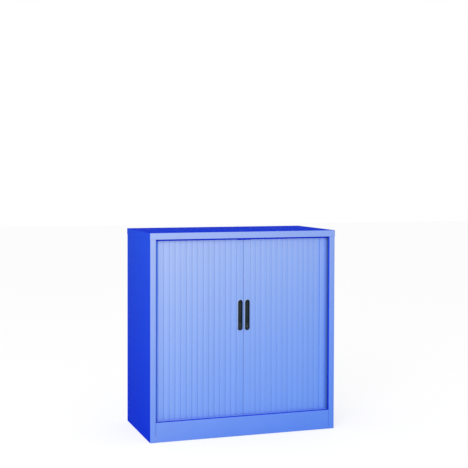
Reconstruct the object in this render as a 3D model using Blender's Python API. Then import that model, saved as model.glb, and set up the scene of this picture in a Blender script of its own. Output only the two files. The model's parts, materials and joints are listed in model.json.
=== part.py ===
"""Side-opening tambour door cabinet.

A folded steel carcass with two shutters of interlocking upright slats. Each shutter slides sideways
behind the front opening, turns a quarter round at the corner and is stored between the side panel and
an inner liner. Metres, +Z up, front facing -Y, origin under the middle of the base.
"""

import math

import bmesh
import bpy
from mathutils import Matrix, Vector

# Overall sizes, over the cap
WIDTH = 1.000
DEPTH = 0.470
HEIGHT = 1.040

# Sheet, folds and clearances
SHEET = 0.0010
CAP_SHEET = 0.0012
RAIL_SHEET = 0.0015
BEND_INNER = 0.0010
GAP = 0.0003
OVERRUN = 0.0040
BEND_STEPS = 3
SWAGE_BEND_STEPS = 2
EDGE_SEGMENTS = 2

# Cap
CAP_SKIRT = 0.0330
CAP_CORNER = 0.0026
CAP_RETURN = 0.0125
CAP_RETURN_STEP = 0.0004

# Side panels
JAMB_WIDTH = 0.0300
JAMB_RETURN = 0.0160
REAR_RETURN = 0.0150

# Plinth
PLINTH_HEIGHT = 0.1000
PLINTH_FLANGE = 0.0170
PLINTH_LIP = 0.0160
PLINTH_FOOT_RETURN = 0.0200

# Floor and top panels
FLOOR_TOP = 0.0940
FLOOR_FLANGE = 0.0210
TOP_PANEL_BELOW_CAP = 0.0223
TRAY_CORNER = 0.0020

# Back panel
SWAGE_DEPTH = 0.0040
SWAGE_FLANK = 0.0050
SWAGE_WIDTH = 0.0600
SWAGE_PLACE_SHARE = 0.25

# Base rails and levelling feet
BASE_RAIL_WIDTH = 0.0900
BASE_RAIL_BOTTOM = 0.0200
BASE_RAIL_OVERHANG = 0.0240
FOOT_INSET_X = 0.0720
FOOT_INSET_Y = 0.0690
FOOT_PAD_RADIUS = 0.0170
FOOT_PAD_THICK = 0.0050
FOOT_CONE_RADIUS = 0.0085
FOOT_CONE_TOP = 0.0110
FOOT_STEM_RADIUS = 0.0040
FOOT_STEM_PROUD = 0.0025
FOOT_EDGE = 0.0008
FOOT_SLOT_WIDTH = 0.0014
FOOT_SLOT_DEPTH = 0.0016
FOOT_SIDES = 20

# Shutters
DOOR_RECESS = 0.0220
MEETING_GAP = 0.0020
LEAD_WIDTH = 0.0365
LEAD_DEPTH = 0.0160
LEAD_WALL = 0.0012
LEAD_LIP = 0.0080
LEAD_EDGE = 0.0014
DOOR_SLAT_COUNT = 15
CORNER_SLAT_COUNT = 1
CORNER_INSET = 0.0480
CORNER_RADIUS = 0.0405
SLAT_WALL = 0.0013
SLAT_CROWN = 0.0009
SLAT_GROOVE = 0.0010
HINGE_DEPTH = 0.0052
BEAD_RADIUS = 0.0015
SOCKET_WALL = 0.0009
NECK_THICK = 0.0012
LEG_THICK = 0.0012
LEG_CLEAR = 0.0008
SLAT_TOP_PLAY = 0.0015
CROWN_STEPS = 8
BEAD_STEPS = 8
SOCKET_STEPS = 9
SOCKET_BACK_STEPS = 6
SOCKET_ROOT_STEPS = 3
LEAD_EDGE_STEPS = 3

# Tracks
TRACK_BASE = 0.0015
TRACK_WALL = 0.0013
TRACK_PLAY = 0.0004
BOTTOM_TRACK_RISE = 0.0115
TOP_TRACK_DROP = 0.0175
TRACK_STEPS = 10

# Guide shoes in the ends of the lead rails
SHOE_SHOULDER = 0.0022
SHOE_PLUG = 0.0200
SHOE_PLUG_SINK = 0.0020

# Handles
HANDLE_WIDTH = 0.0265
HANDLE_HEIGHT = 0.1565
HANDLE_CENTRE_Z = 0.6140
HANDLE_OFFSET = 0.0190
HANDLE_PROUD = 0.0034
HANDLE_EDGE = 0.0014
POCKET_WIDTH = 0.0204
POCKET_RIM = 0.0030
POCKET_WALL = 0.0014
POCKET_DEPTH = 0.0125
BAR_ABOVE_END = 0.04425
BAR_HEIGHT = 0.0040
LOCK_SEAT_DEPTH = 0.0016
SLOT_PLAY = 0.0005
STADIUM_STEPS = 10

# Lock
LOCK_ABOVE_END = 0.02025
BARREL_RADIUS = 0.0055
BARREL_PROUD = 0.0010
BARREL_EDGE = 0.0004
BARREL_BACK = 0.0085
SPIGOT_RADIUS = 0.0028
CAM_THICK = 0.0020
CAM_LENGTH = 0.0270
CAM_WIDTH = 0.0080
CAM_SCREW_RADIUS = 0.0044
CAM_SCREW_HEAD = 0.0012
BOSS_RADIUS = 0.0080
KEY_SLOT_LENGTH = 0.0066
KEY_SLOT_WIDTH = 0.0012
KEY_SLOT_DEPTH = 0.0020
CAM_SLOT_PLAY = 0.0005
KEEPER_THICK = 0.0025
KEEPER_MARGIN = 0.0060
BARREL_SIDES = 24

# Liners and shelves
LINER_INSET = 0.0535
LINER_FRONT_INSET = 0.0395
LINER_FLANGE = 0.0120
SLOT_WIDTH = 0.0160
SLOT_HEIGHT = 0.0026
SLOT_PITCH = 0.0320
SLOT_MARGIN = 0.0850
SLOT_COLUMN_FRONT_SHARE = 0.16
SLOT_COLUMN_REAR_SHARE = 0.84
SHELF_SLOT_SHARES = (0.30, 0.74)
SHELF_LIP = 0.0250
SHELF_SET_BACK = 0.0060
SHELF_LUG_WIDTH = 0.0140
SHELF_LUG_REACH = 0.0060
SHELF_HEM = 0.0100
SHELF_HEM_STEP = 0.0004

# Worked out from the sizes above
CARCASS_X = WIDTH / 2 - CAP_SHEET - GAP
CARCASS_Y = DEPTH / 2 - CAP_SHEET - GAP
CARCASS_TOP = HEIGHT - CAP_CORNER - GAP
INSIDE_X = CARCASS_X - SHEET - GAP
OPENING_X = CARCASS_X - JAMB_WIDTH
BACK_FACE_Y = CARCASS_Y - SHEET - GAP
BACK_HALF = INSIDE_X - BEND_INNER
BACK_LIMIT_Y = BACK_FACE_Y - SHEET - SWAGE_DEPTH - GAP
FRAME_FRONT_Y = -CARCASS_Y + PLINTH_FLANGE + GAP
TOP_PANEL_UNDER = HEIGHT - TOP_PANEL_BELOW_CAP - CAP_SHEET
FACE_Y = -DEPTH / 2 + DOOR_RECESS
HINGE_Y = FACE_Y + HINGE_DEPTH
HINGE_RADIUS = CORNER_RADIUS - HINGE_DEPTH
SOCKET_INNER = BEAD_RADIUS + GAP
SOCKET_OUTER = SOCKET_INNER + SOCKET_WALL
CORNER_X = WIDTH / 2 - CORNER_INSET
CORNER_Y = FACE_Y + CORNER_RADIUS
STRAIGHT_SLAT_COUNT = DOOR_SLAT_COUNT - CORNER_SLAT_COUNT
SLAT_PITCH = (CORNER_X - MEETING_GAP / 2 - LEAD_WIDTH) / STRAIGHT_SLAT_COUNT
CORNER_TURN = 2 * math.asin(SLAT_PITCH / 2 / HINGE_RADIUS)
CHANNEL_FRONT = -TRACK_PLAY
CHANNEL_REAR = HINGE_DEPTH + SOCKET_OUTER + TRACK_PLAY
BOTTOM_TRACK_Z = FLOOR_TOP + GAP
TOP_TRACK_Z = TOP_PANEL_UNDER - GAP
SLAT_BOTTOM = BOTTOM_TRACK_Z + TRACK_BASE + GAP
SLAT_TOP = TOP_TRACK_Z - TRACK_BASE - SLAT_TOP_PLAY
LEAD_BOTTOM = BOTTOM_TRACK_Z + BOTTOM_TRACK_RISE + SHOE_SHOULDER
LEAD_TOP = TOP_TRACK_Z - TOP_TRACK_DROP - SHOE_SHOULDER
LEAD_WEB = LEAD_WIDTH - SOCKET_OUTER - LEG_CLEAR
HANDLE_END_Z = HANDLE_CENTRE_Z - HANDLE_HEIGHT / 2
LOCK_Z = HANDLE_END_Z + LOCK_ABOVE_END
CAM_FRONT = BARREL_BACK + GAP
CAM_BACK = CAM_FRONT + CAM_THICK
LINER_X = WIDTH / 2 - LINER_INSET
LINER_FRONT_Y = -DEPTH / 2 + LINER_FRONT_INSET
LINER_DEPTH = BACK_LIMIT_Y - LINER_FRONT_Y
SLOT_FIRST_Z = FLOOR_TOP + SLOT_MARGIN
SLOT_COUNT = int((TOP_PANEL_UNDER - SLOT_MARGIN - SLOT_FIRST_Z) / SLOT_PITCH) + 1
SLOT_COLUMNS = tuple(
    LINER_FRONT_Y + share * LINER_DEPTH for share in (SLOT_COLUMN_FRONT_SHARE, SLOT_COLUMN_REAR_SHARE)
)
SIDES = (("left", -1), ("right", 1))

# Finishes: colour, roughness, metallic
FINISHES = {
    "blue_paint": ((0.250, 0.400, 0.890, 1.0), 0.42, 0.0),
    "blue_panel_paint": ((0.020, 0.060, 0.650, 1.0), 0.42, 0.0),
    "blue_slat": ((0.300, 0.450, 0.890, 1.0), 0.50, 0.0),
    "dark_track": ((0.012, 0.030, 0.380, 1.0), 0.45, 0.0),
    "black_moulding": ((0.024, 0.032, 0.040, 1.0), 0.45, 0.0),
    "steel": ((0.550, 0.560, 0.580, 1.0), 0.30, 1.0),
    "zinc": ((0.420, 0.430, 0.450, 1.0), 0.45, 1.0),
    "nylon": ((0.060, 0.065, 0.075, 1.0), 0.55, 0.0),
}


def clear_scene():
    """Remove what a new file holds."""
    for obj in list(bpy.data.objects):
        bpy.data.objects.remove(obj, do_unlink=True)


def finish_piece(obj, finish, smooth_angle=None):
    """Give a piece its own material, and shade it smooth if it is round."""
    colour, roughness, metallic = FINISHES[finish]
    material = bpy.data.materials.new(obj.name + "_" + finish)
    material.use_nodes = True
    shader = material.node_tree.nodes["Principled BSDF"]
    shader.inputs["Base Color"].default_value = colour
    shader.inputs["Roughness"].default_value = roughness
    shader.inputs["Metallic"].default_value = metallic
    material.diffuse_color = colour
    obj.data.materials.clear()
    obj.data.materials.append(material)
    if smooth_angle is not None:
        obj.data.shade_smooth()
        obj.data.set_sharp_from_angle(angle=math.radians(smooth_angle))
    return obj


def new_object(name, bm):
    """Turn a bmesh into an object with its faces pointing out."""
    bmesh.ops.remove_doubles(bm, verts=bm.verts, dist=GAP / 1000)
    bmesh.ops.recalc_face_normals(bm, faces=bm.faces)
    mesh = bpy.data.meshes.new(name)
    bm.to_mesh(mesh)
    bm.free()
    obj = bpy.data.objects.new(name, mesh)
    bpy.context.scene.collection.objects.link(obj)
    return obj


def block(name, low, high):
    """A plain block between two corners."""
    bm = bmesh.new()
    bmesh.ops.create_cube(bm, size=1.0)
    low = Vector(low)
    high = Vector(high)
    bmesh.ops.scale(bm, vec=high - low, verts=bm.verts)
    bmesh.ops.translate(bm, vec=(low + high) / 2, verts=bm.verts)
    return new_object(name, bm)


def prism(name, outline, plane, start, end):
    """Extrude a flat outline. The plane is XY, YZ or XZ, and start and end lie on the third axis."""
    places = {
        "XY": lambda a, b, c: Vector((a, b, c)),
        "YZ": lambda a, b, c: Vector((c, a, b)),
        "XZ": lambda a, b, c: Vector((a, c, b)),
    }
    place = places[plane]
    bm = bmesh.new()
    face = bm.faces.new([bm.verts.new(place(a, b, start)) for a, b in outline])
    extruded = bmesh.ops.extrude_face_region(bm, geom=[face])
    moved = [item for item in extruded["geom"] if isinstance(item, bmesh.types.BMVert)]
    bmesh.ops.translate(bm, vec=place(0, 0, end - start), verts=moved)
    return new_object(name, bm)


def turned(name, profile, sides):
    """Spin a profile of (radius, height) points, closed on the axis at both ends, about Z."""
    bm = bmesh.new()
    points = [bm.verts.new((radius, 0, height)) for radius, height in profile]
    edges = [bm.edges.new(pair) for pair in zip(points, points[1:])]
    bmesh.ops.spin(
        bm, geom=points + edges, cent=(0, 0, 0), axis=(0, 0, 1), angle=math.tau, steps=sides, use_merge=True
    )
    return new_object(name, bm)


def round_edges(bm, edges, radius):
    """Round some edges of a mesh."""
    bmesh.ops.bevel(
        bm,
        geom=edges,
        offset=radius,
        offset_type="OFFSET",
        segments=EDGE_SEGMENTS,
        profile=0.5,
        affect="EDGES",
        material=-1,
    )


def tray(name, low, high, opening, corner, sheet):
    """A folded tray: a box with one open side, rounded folds and its wall inside the box."""
    bm = bmesh.new()
    bmesh.ops.create_cube(bm, size=1.0)
    low = Vector(low)
    high = Vector(high)
    bmesh.ops.scale(bm, vec=high - low, verts=bm.verts)
    bmesh.ops.translate(bm, vec=(low + high) / 2, verts=bm.verts)
    sign = 1 if opening == "up" else -1
    lid = [face for face in bm.faces if face.normal.z * sign > 0.5]
    bmesh.ops.delete(bm, geom=lid, context="FACES")
    folds = [edge for edge in bm.edges if not edge.is_boundary]
    round_edges(bm, folds, corner)
    obj = new_object(name, bm)
    wall = obj.modifiers.new("wall", "SOLIDIFY")
    wall.thickness = sheet
    wall.offset = -1
    wall.use_even_offset = True
    wall.use_rim = True
    return bake(obj)


def bake(obj):
    """Replace a piece's mesh by what its modifiers make of it."""
    bpy.context.view_layer.update()
    evaluated = obj.evaluated_get(bpy.context.evaluated_depsgraph_get())
    mesh = bpy.data.meshes.new_from_object(evaluated)
    mesh.name = obj.name
    obj.modifiers.clear()
    old = obj.data
    obj.data = mesh
    bpy.data.meshes.remove(old)
    return obj


def combine(obj, tools, operation):
    """Cut the tools out of a piece, or join them to it, and remove the tools."""
    for tool in tools:
        step = obj.modifiers.new(tool.name, "BOOLEAN")
        step.operation = operation
        step.solver = "EXACT"
        step.object = tool
    bake(obj)
    for tool in tools:
        bpy.data.objects.remove(tool, do_unlink=True)
    return obj


def cut(obj, tools):
    return combine(obj, tools, "DIFFERENCE")


def join(obj, tools):
    return combine(obj, tools, "UNION")


def arc(centre, radius, start, end, steps):
    """Points on an arc, from one angle to another in radians."""
    turn = (end - start) / steps
    return [
        (centre[0] + radius * math.cos(start + i * turn), centre[1] + radius * math.sin(start + i * turn))
        for i in range(steps + 1)
    ]


def bent_sheet(path, sheet, sheet_side, steps=BEND_STEPS):
    """Outline of a bent sheet. The path is its outer face; the sheet lies left (1) or right (-1) of it."""
    points = [Vector(point) for point in path]
    face = []
    other = []

    def add(point, direction):
        normal = Vector((-direction.y, direction.x)) * sheet_side
        face.append(point)
        other.append(point + normal * sheet)

    first = (points[1] - points[0]).normalized()
    add(points[0], first)
    for before, corner, after in zip(points, points[1:], points[2:]):
        way_in = (corner - before).normalized()
        way_out = (after - corner).normalized()
        turn = math.atan2(way_in.x * way_out.y - way_in.y * way_out.x, way_in.dot(way_out))
        radius = BEND_INNER + sheet if turn * sheet_side > 0 else BEND_INNER
        reach = radius * math.tan(abs(turn) / 2)
        to_centre = Vector((-way_in.y, way_in.x)) * math.copysign(radius, turn)
        centre = corner - way_in * reach + to_centre
        for i in range(steps + 1):
            spoke = Matrix.Rotation(turn * i / steps, 2) @ -to_centre
            direction = Matrix.Rotation(turn * i / steps, 2) @ way_in
            add(centre + spoke, direction)
    last = (points[-1] - points[-2]).normalized()
    add(points[-1], last)
    return [tuple(point) for point in face + other[::-1]]


def stadium(centre, width, height, steps):
    """An upright oblong with round ends."""
    radius = width / 2
    rise = height / 2 - radius
    top = arc((centre[0], centre[1] + rise), radius, 0, math.pi, steps)
    bottom = arc((centre[0], centre[1] - rise), radius, math.pi, math.tau, steps)
    return top + bottom


def circle(centre, radius, sides):
    return arc(centre, radius, 0, math.tau, sides)[:-1]


def mirrored(outline, side):
    return [(a * side, b) for a, b in outline]


def box_between(low, high, side):
    """Swap a block's ends along X on the left-hand side, where X is mirrored."""
    x_low, x_high = sorted((low[0] * side, high[0] * side))
    return (x_low, low[1], low[2]), (x_high, high[1], high[2])


def put(obj, place):
    """Move a piece's origin to a place, and leave its shape where it is."""
    obj.data.transform(Matrix.Translation(-Vector(place)))
    obj.location = place
    return obj


def make_top_cap():
    """Folded tray that drops over the carcass, with a return along the foot of its front skirt."""
    cap = tray(
        "top_cap",
        (-WIDTH / 2, -DEPTH / 2, HEIGHT - CAP_SKIRT),
        (WIDTH / 2, DEPTH / 2, HEIGHT),
        "down",
        CAP_CORNER,
        CAP_SHEET,
    )
    return_x = OPENING_X - GAP
    return_z = HEIGHT - CAP_SKIRT + CAP_RETURN_STEP
    flange = block(
        "cap_return",
        (-return_x, -DEPTH / 2 + CAP_SHEET / 2, return_z),
        (return_x, -DEPTH / 2 + CAP_RETURN, return_z + CAP_SHEET),
    )
    finish_piece(join(cap, [flange]), "blue_paint")


def make_top_panel():
    """Inner top tray, which carries the top track and spaces the side panels."""
    panel = tray(
        "top_panel",
        (-INSIDE_X, FRAME_FRONT_Y, TOP_PANEL_UNDER),
        (INSIDE_X, BACK_LIMIT_Y, CARCASS_TOP),
        "up",
        TRAY_CORNER,
        SHEET,
    )
    finish_piece(panel, "blue_panel_paint")


def make_side_panels():
    """Side sheets, each with its front jamb, the jamb's return and a rear return."""
    for word, side in SIDES:
        path = [
            (CARCASS_X - REAR_RETURN, CARCASS_Y),
            (CARCASS_X, CARCASS_Y),
            (CARCASS_X, -CARCASS_Y),
            (OPENING_X, -CARCASS_Y),
            (OPENING_X, -CARCASS_Y + JAMB_RETURN),
        ]
        outline = bent_sheet(path, SHEET, -1)
        panel = prism(word + "_side_panel", mirrored(outline, side), "XY", 0, CARCASS_TOP)
        finish_piece(panel, "blue_panel_paint")


def make_back_panel():
    """Back sheet behind the rear returns, stiffened by two upright swages pressed inward."""
    path = [(-BACK_HALF, BACK_FACE_Y)]
    inner_y = BACK_FACE_Y - SWAGE_DEPTH
    for side in (-1, 1):
        middle = side * 2 * BACK_HALF * SWAGE_PLACE_SHARE
        half = SWAGE_WIDTH / 2
        path.append((middle - half - SWAGE_FLANK, BACK_FACE_Y))
        path.append((middle - half, inner_y))
        path.append((middle + half, inner_y))
        path.append((middle + half + SWAGE_FLANK, BACK_FACE_Y))
    path.append((BACK_HALF, BACK_FACE_Y))
    panel = prism("back_panel", bent_sheet(path, SHEET, -1, SWAGE_BEND_STEPS), "XY", 0, CARCASS_TOP)
    finish_piece(panel, "blue_panel_paint")


def foot_places():
    """Where the four levelling feet stand."""
    x = WIDTH / 2 - FOOT_INSET_X
    y = DEPTH / 2 - FOOT_INSET_Y
    return {
        "front_left": (-x, -y),
        "front_right": (x, -y),
        "rear_left": (-x, y),
        "rear_right": (x, y),
    }


def stem_drills(low, high, keep=lambda x: True):
    """Drills for the feet's stems between two heights."""
    radius = FOOT_STEM_RADIUS + GAP
    return [
        prism("drill", circle(place, radius, FOOT_SIDES), "XY", low - OVERRUN, high + OVERRUN)
        for place in foot_places().values()
        if keep(place[0])
    ]


def make_floor_panel():
    """Floor tray with its flanges down, drilled for the stems of the feet."""
    floor = tray(
        "floor_panel",
        (-INSIDE_X, FRAME_FRONT_Y, FLOOR_TOP - FLOOR_FLANGE),
        (INSIDE_X, BACK_LIMIT_Y, FLOOR_TOP),
        "down",
        TRAY_CORNER,
        SHEET,
    )
    cut(floor, stem_drills(FLOOR_TOP - SHEET, FLOOR_TOP))
    finish_piece(floor, "blue_panel_paint")


def make_plinth():
    """Kick plate, flush between the jambs, folded over the front of the floor."""
    front = -CARCASS_Y
    path = [
        (front + PLINTH_FOOT_RETURN, 0),
        (front, 0),
        (front, PLINTH_HEIGHT),
        (front + PLINTH_FLANGE, PLINTH_HEIGHT),
        (front + PLINTH_FLANGE, PLINTH_HEIGHT - PLINTH_LIP),
    ]
    half = OPENING_X - GAP
    plinth = prism("plinth", bent_sheet(path, SHEET, -1), "YZ", -half, half)
    finish_piece(plinth, "blue_paint")


def make_base_rails():
    """Channels under the floor, one along each side, in which the feet's stems turn."""
    top = FLOOR_TOP - SHEET - GAP
    outer = INSIDE_X - SHEET - GAP
    inner = outer - BASE_RAIL_WIDTH
    end_y = DEPTH / 2 - FOOT_INSET_Y + BASE_RAIL_OVERHANG
    for word, side in SIDES:
        path = [(inner, BASE_RAIL_BOTTOM), (outer, BASE_RAIL_BOTTOM), (outer, top), (inner, top)]
        outline = mirrored(bent_sheet(path, RAIL_SHEET, 1), side)
        rail = prism(word + "_base_rail", outline, "XZ", -end_y, end_y)
        cut(rail, stem_drills(BASE_RAIL_BOTTOM, top, lambda x: x * side > 0))
        finish_piece(rail, "zinc")


def make_feet():
    """Levelling feet, turned by a driver from inside the cabinet."""
    stem_top = FLOOR_TOP + FOOT_STEM_PROUD
    profile = [
        (0, 0),
        (FOOT_PAD_RADIUS - FOOT_EDGE, 0),
        (FOOT_PAD_RADIUS, FOOT_EDGE),
        (FOOT_PAD_RADIUS, FOOT_PAD_THICK),
        (FOOT_CONE_RADIUS, FOOT_CONE_TOP),
        (FOOT_STEM_RADIUS, FOOT_CONE_TOP),
        (FOOT_STEM_RADIUS, stem_top - FOOT_EDGE),
        (FOOT_STEM_RADIUS - FOOT_EDGE, stem_top),
        (0, stem_top),
    ]
    for word, (x, y) in foot_places().items():
        foot = turned(word + "_levelling_foot", profile, FOOT_SIDES)
        slot = block(
            "driver_slot",
            (-FOOT_STEM_RADIUS - OVERRUN, -FOOT_SLOT_WIDTH / 2, stem_top - FOOT_SLOT_DEPTH),
            (FOOT_STEM_RADIUS + OVERRUN, FOOT_SLOT_WIDTH / 2, stem_top + OVERRUN),
        )
        cut(foot, [slot])
        foot.location = (x, y, 0)
        finish_piece(foot, "nylon", 35)


def make_tracks():
    """One-piece channels: along the front, a quarter round at each corner and back along both sides."""
    lip_front = CHANNEL_FRONT - TRACK_WALL
    lip_rear = CHANNEL_REAR + TRACK_WALL
    rear_y = BACK_LIMIT_Y
    rises = {
        "bottom_track": (BOTTOM_TRACK_Z, TRACK_BASE, BOTTOM_TRACK_RISE),
        "top_track": (TOP_TRACK_Z, -TRACK_BASE, -TOP_TRACK_DROP),
    }
    for name, (seat, base, lip) in rises.items():
        section = [
            (lip_front, seat),
            (lip_rear, seat),
            (lip_rear, seat + lip),
            (CHANNEL_REAR, seat + lip),
            (CHANNEL_REAR, seat + base),
            (CHANNEL_FRONT, seat + base),
            (CHANNEL_FRONT, seat + lip),
            (lip_front, seat + lip),
        ]
        bm = bmesh.new()
        outer_x = CORNER_X + CORNER_RADIUS
        end = bm.faces.new([bm.verts.new((outer_x - depth, rear_y, z)) for depth, z in section])
        end = run_on(bm, end, (0, CORNER_Y - rear_y, 0))
        end = turn_on(bm, end, (CORNER_X, CORNER_Y, 0), -math.pi / 2, TRACK_STEPS)
        end = run_on(bm, end, (-2 * CORNER_X, 0, 0))
        end = turn_on(bm, end, (-CORNER_X, CORNER_Y, 0), -math.pi / 2, TRACK_STEPS)
        run_on(bm, end, (0, rear_y - CORNER_Y, 0))
        finish_piece(new_object(name, bm), "dark_track")


def extend(bm, end):
    """Extrude the end of a channel, drop the face left inside, and return the new end and its corners."""
    inside = any(len(edge.link_faces) > 1 for edge in end.edges)
    extruded = bmesh.ops.extrude_face_region(bm, geom=[end])["geom"]
    if inside:
        bmesh.ops.delete(bm, geom=[end], context="FACES_ONLY")
    new_end = next(item for item in extruded if isinstance(item, bmesh.types.BMFace))
    return new_end, list(new_end.verts)


def run_on(bm, end, vector):
    """Carry the end of a channel straight on."""
    end, corners = extend(bm, end)
    bmesh.ops.translate(bm, vec=vector, verts=corners)
    return end


def turn_on(bm, end, centre, angle, steps):
    """Carry the end of a channel round a corner."""
    for _ in range(steps):
        end, corners = extend(bm, end)
        bmesh.ops.rotate(bm, cent=centre, matrix=Matrix.Rotation(angle / steps, 3, "Z"), verts=corners)
    return end


def crown_depth(along):
    """How far the slat's face lies in front of the hinge line, at a distance along the slat."""
    share = (along - SLAT_PITCH / 2) / (SLAT_PITCH / 2)
    return -HINGE_DEPTH + SLAT_CROWN * share * share


def bead_outline(hinge, root):
    """Neck and bead that the next slat hooks on, from the neck's front to its back."""
    neck_turn = math.asin(NECK_THICK / 2 / BEAD_RADIUS)
    start = math.pi + neck_turn
    end = 3 * math.pi - neck_turn
    return [(root, -NECK_THICK / 2)] + arc((hinge, 0), BEAD_RADIUS, start, end, BEAD_STEPS)


def slat_outline():
    """Section of a slat, along the shutter from its socket at zero to its bead at the pitch, and in depth."""
    near = SLAT_GROOVE / 2
    far = SLAT_PITCH - SLAT_GROOVE / 2
    face_run = far - near
    face = [(near + face_run * i / CROWN_STEPS, 0) for i in range(CROWN_STEPS + 1)]
    face = [(along, crown_depth(along)) for along, _ in face]
    leg_far = SLAT_PITCH - SOCKET_OUTER - LEG_CLEAR
    leg_near = leg_far - LEG_THICK
    web = SOCKET_OUTER + GAP
    mouth_high = math.pi + math.asin((NECK_THICK / 2 + GAP) / SOCKET_INNER)
    mouth_low = math.pi - CORNER_TURN - math.asin((NECK_THICK / 2 + GAP) / SOCKET_INNER)
    web_turn = -math.asin(SOCKET_WALL / SOCKET_OUTER)
    root_turn = -math.pi / 2 + math.asin(near / 2 / SOCKET_OUTER)
    outline = list(face)
    outline.append((far, crown_depth(far) + SLAT_WALL))
    outline.append((leg_far, crown_depth(leg_far) + SLAT_WALL))
    outline.extend(bead_outline(SLAT_PITCH, leg_far))
    outline.append((leg_near, NECK_THICK / 2))
    outline.append((leg_near, crown_depth(leg_near) + SLAT_WALL))
    outline.append((web, crown_depth(web) + SLAT_WALL))
    outline.extend(arc((0, 0), SOCKET_OUTER, web_turn, mouth_low, SOCKET_BACK_STEPS))
    outline.extend(arc((0, 0), SOCKET_INNER, mouth_low, mouth_high - math.tau, SOCKET_STEPS))
    outline.extend(arc((0, 0), SOCKET_OUTER, mouth_high - math.tau, root_turn, SOCKET_ROOT_STEPS))
    outline.append((near, crown_depth(near) + SLAT_WALL))
    return outline


def make_slats():
    """Interlocking slats: each hooks on the bead of the one before it, and the last turns the corner."""
    height = SLAT_TOP - SLAT_BOTTOM
    for word, side in SIDES:
        pattern = prism(word + "_slat_01", mirrored(slat_outline(), side), "XY", 0, height)
        finish_piece(pattern, "blue_slat")
        hinge_x = MEETING_GAP / 2 + LEAD_WIDTH
        hinge_y = HINGE_Y
        heading = 0
        for number in range(1, DOOR_SLAT_COUNT + 1):
            slat = pattern
            if number > 1:
                slat = bpy.data.objects.new("%s_slat_%02d" % (word, number), pattern.data)
                bpy.context.scene.collection.objects.link(slat)
            if number > STRAIGHT_SLAT_COUNT:
                heading += CORNER_TURN / 2 if number == STRAIGHT_SLAT_COUNT + 1 else CORNER_TURN
            slat.location = (hinge_x * side, hinge_y, SLAT_BOTTOM)
            slat.rotation_euler = (0, 0, heading * side)
            hinge_x += SLAT_PITCH * math.cos(heading)
            hinge_y += SLAT_PITCH * math.sin(heading)


def lead_outline():
    """Section of a lead rail: a channel open behind, with a bead along its outer edge."""
    front = -HINGE_DEPTH
    rear = front + LEAD_DEPTH
    rim = LEAD_WIDTH - SLAT_GROOVE / 2
    web_in = LEAD_WEB - LEAD_WALL
    edge_centre = (LEAD_EDGE, front + LEAD_EDGE)
    outline = arc(edge_centre, LEAD_EDGE, math.pi, 1.5 * math.pi, LEAD_EDGE_STEPS)
    outline.append((rim - LEAD_EDGE, front))
    outline.append((rim, front + LEAD_EDGE / 2))
    outline.append((rim, front + LEAD_WALL + LEAD_EDGE / 2))
    outline.append((LEAD_WEB, front + LEAD_WALL + LEAD_EDGE / 2))
    outline.extend(bead_outline(LEAD_WIDTH, LEAD_WEB))
    outline.append((LEAD_WEB, NECK_THICK / 2))
    outline.append((LEAD_WEB, rear))
    outline.append((LEAD_WEB - LEAD_LIP, rear))
    outline.append((LEAD_WEB - LEAD_LIP, rear - LEAD_WALL))
    outline.append((web_in, rear - LEAD_WALL))
    outline.append((web_in, front + LEAD_WALL))
    outline.append((LEAD_WALL, front + LEAD_WALL))
    outline.append((LEAD_WALL, rear - LEAD_WALL))
    outline.append((LEAD_LIP, rear - LEAD_WALL))
    outline.append((LEAD_LIP, rear))
    outline.append((0, rear))
    return outline


def cam_drop():
    """How far below the lock the turning cam's tip crosses the meeting wall."""
    return math.sqrt(CAM_LENGTH**2 - (HANDLE_OFFSET - MEETING_GAP / 2 - LEAD_WALL) ** 2)


def cam_slot(side):
    """Cutter for the slot that the lock's cam swings through, in the meeting wall of a lead rail."""
    drop = cam_drop()
    low = (MEETING_GAP / 2 - OVERRUN, FACE_Y + CAM_FRONT - CAM_SLOT_PLAY, LOCK_Z - drop - CAM_SLOT_PLAY)
    high = (
        MEETING_GAP / 2 + LEAD_WALL + KEEPER_THICK + OVERRUN,
        FACE_Y + CAM_BACK + CAM_SLOT_PLAY,
        LOCK_Z + CAM_WIDTH / 2 + CAM_SLOT_PLAY,
    )
    return block("cam_slot", *box_between(low, high, side))


def make_lead_rails():
    """Stiff first section of each shutter, which carries the handle."""
    for word, side in SIDES:
        offset = MEETING_GAP / 2
        outline = [((a + offset) * side, b + HINGE_Y) for a, b in lead_outline()]
        rail = prism(word + "_lead_rail", outline, "XY", LEAD_BOTTOM, LEAD_TOP)
        hole = stadium(
            (HANDLE_OFFSET * side, HANDLE_CENTRE_Z),
            POCKET_WIDTH + 2 * SLOT_PLAY,
            HANDLE_HEIGHT - 2 * POCKET_RIM + 2 * SLOT_PLAY,
            STADIUM_STEPS,
        )
        window = prism("window", hole, "XZ", FACE_Y - OVERRUN, FACE_Y + 2 * LEAD_WALL)
        cut(rail, [window, cam_slot(side)])
        put(rail, (offset * side, FACE_Y, LEAD_BOTTOM))
        finish_piece(rail, "blue_paint")


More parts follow.
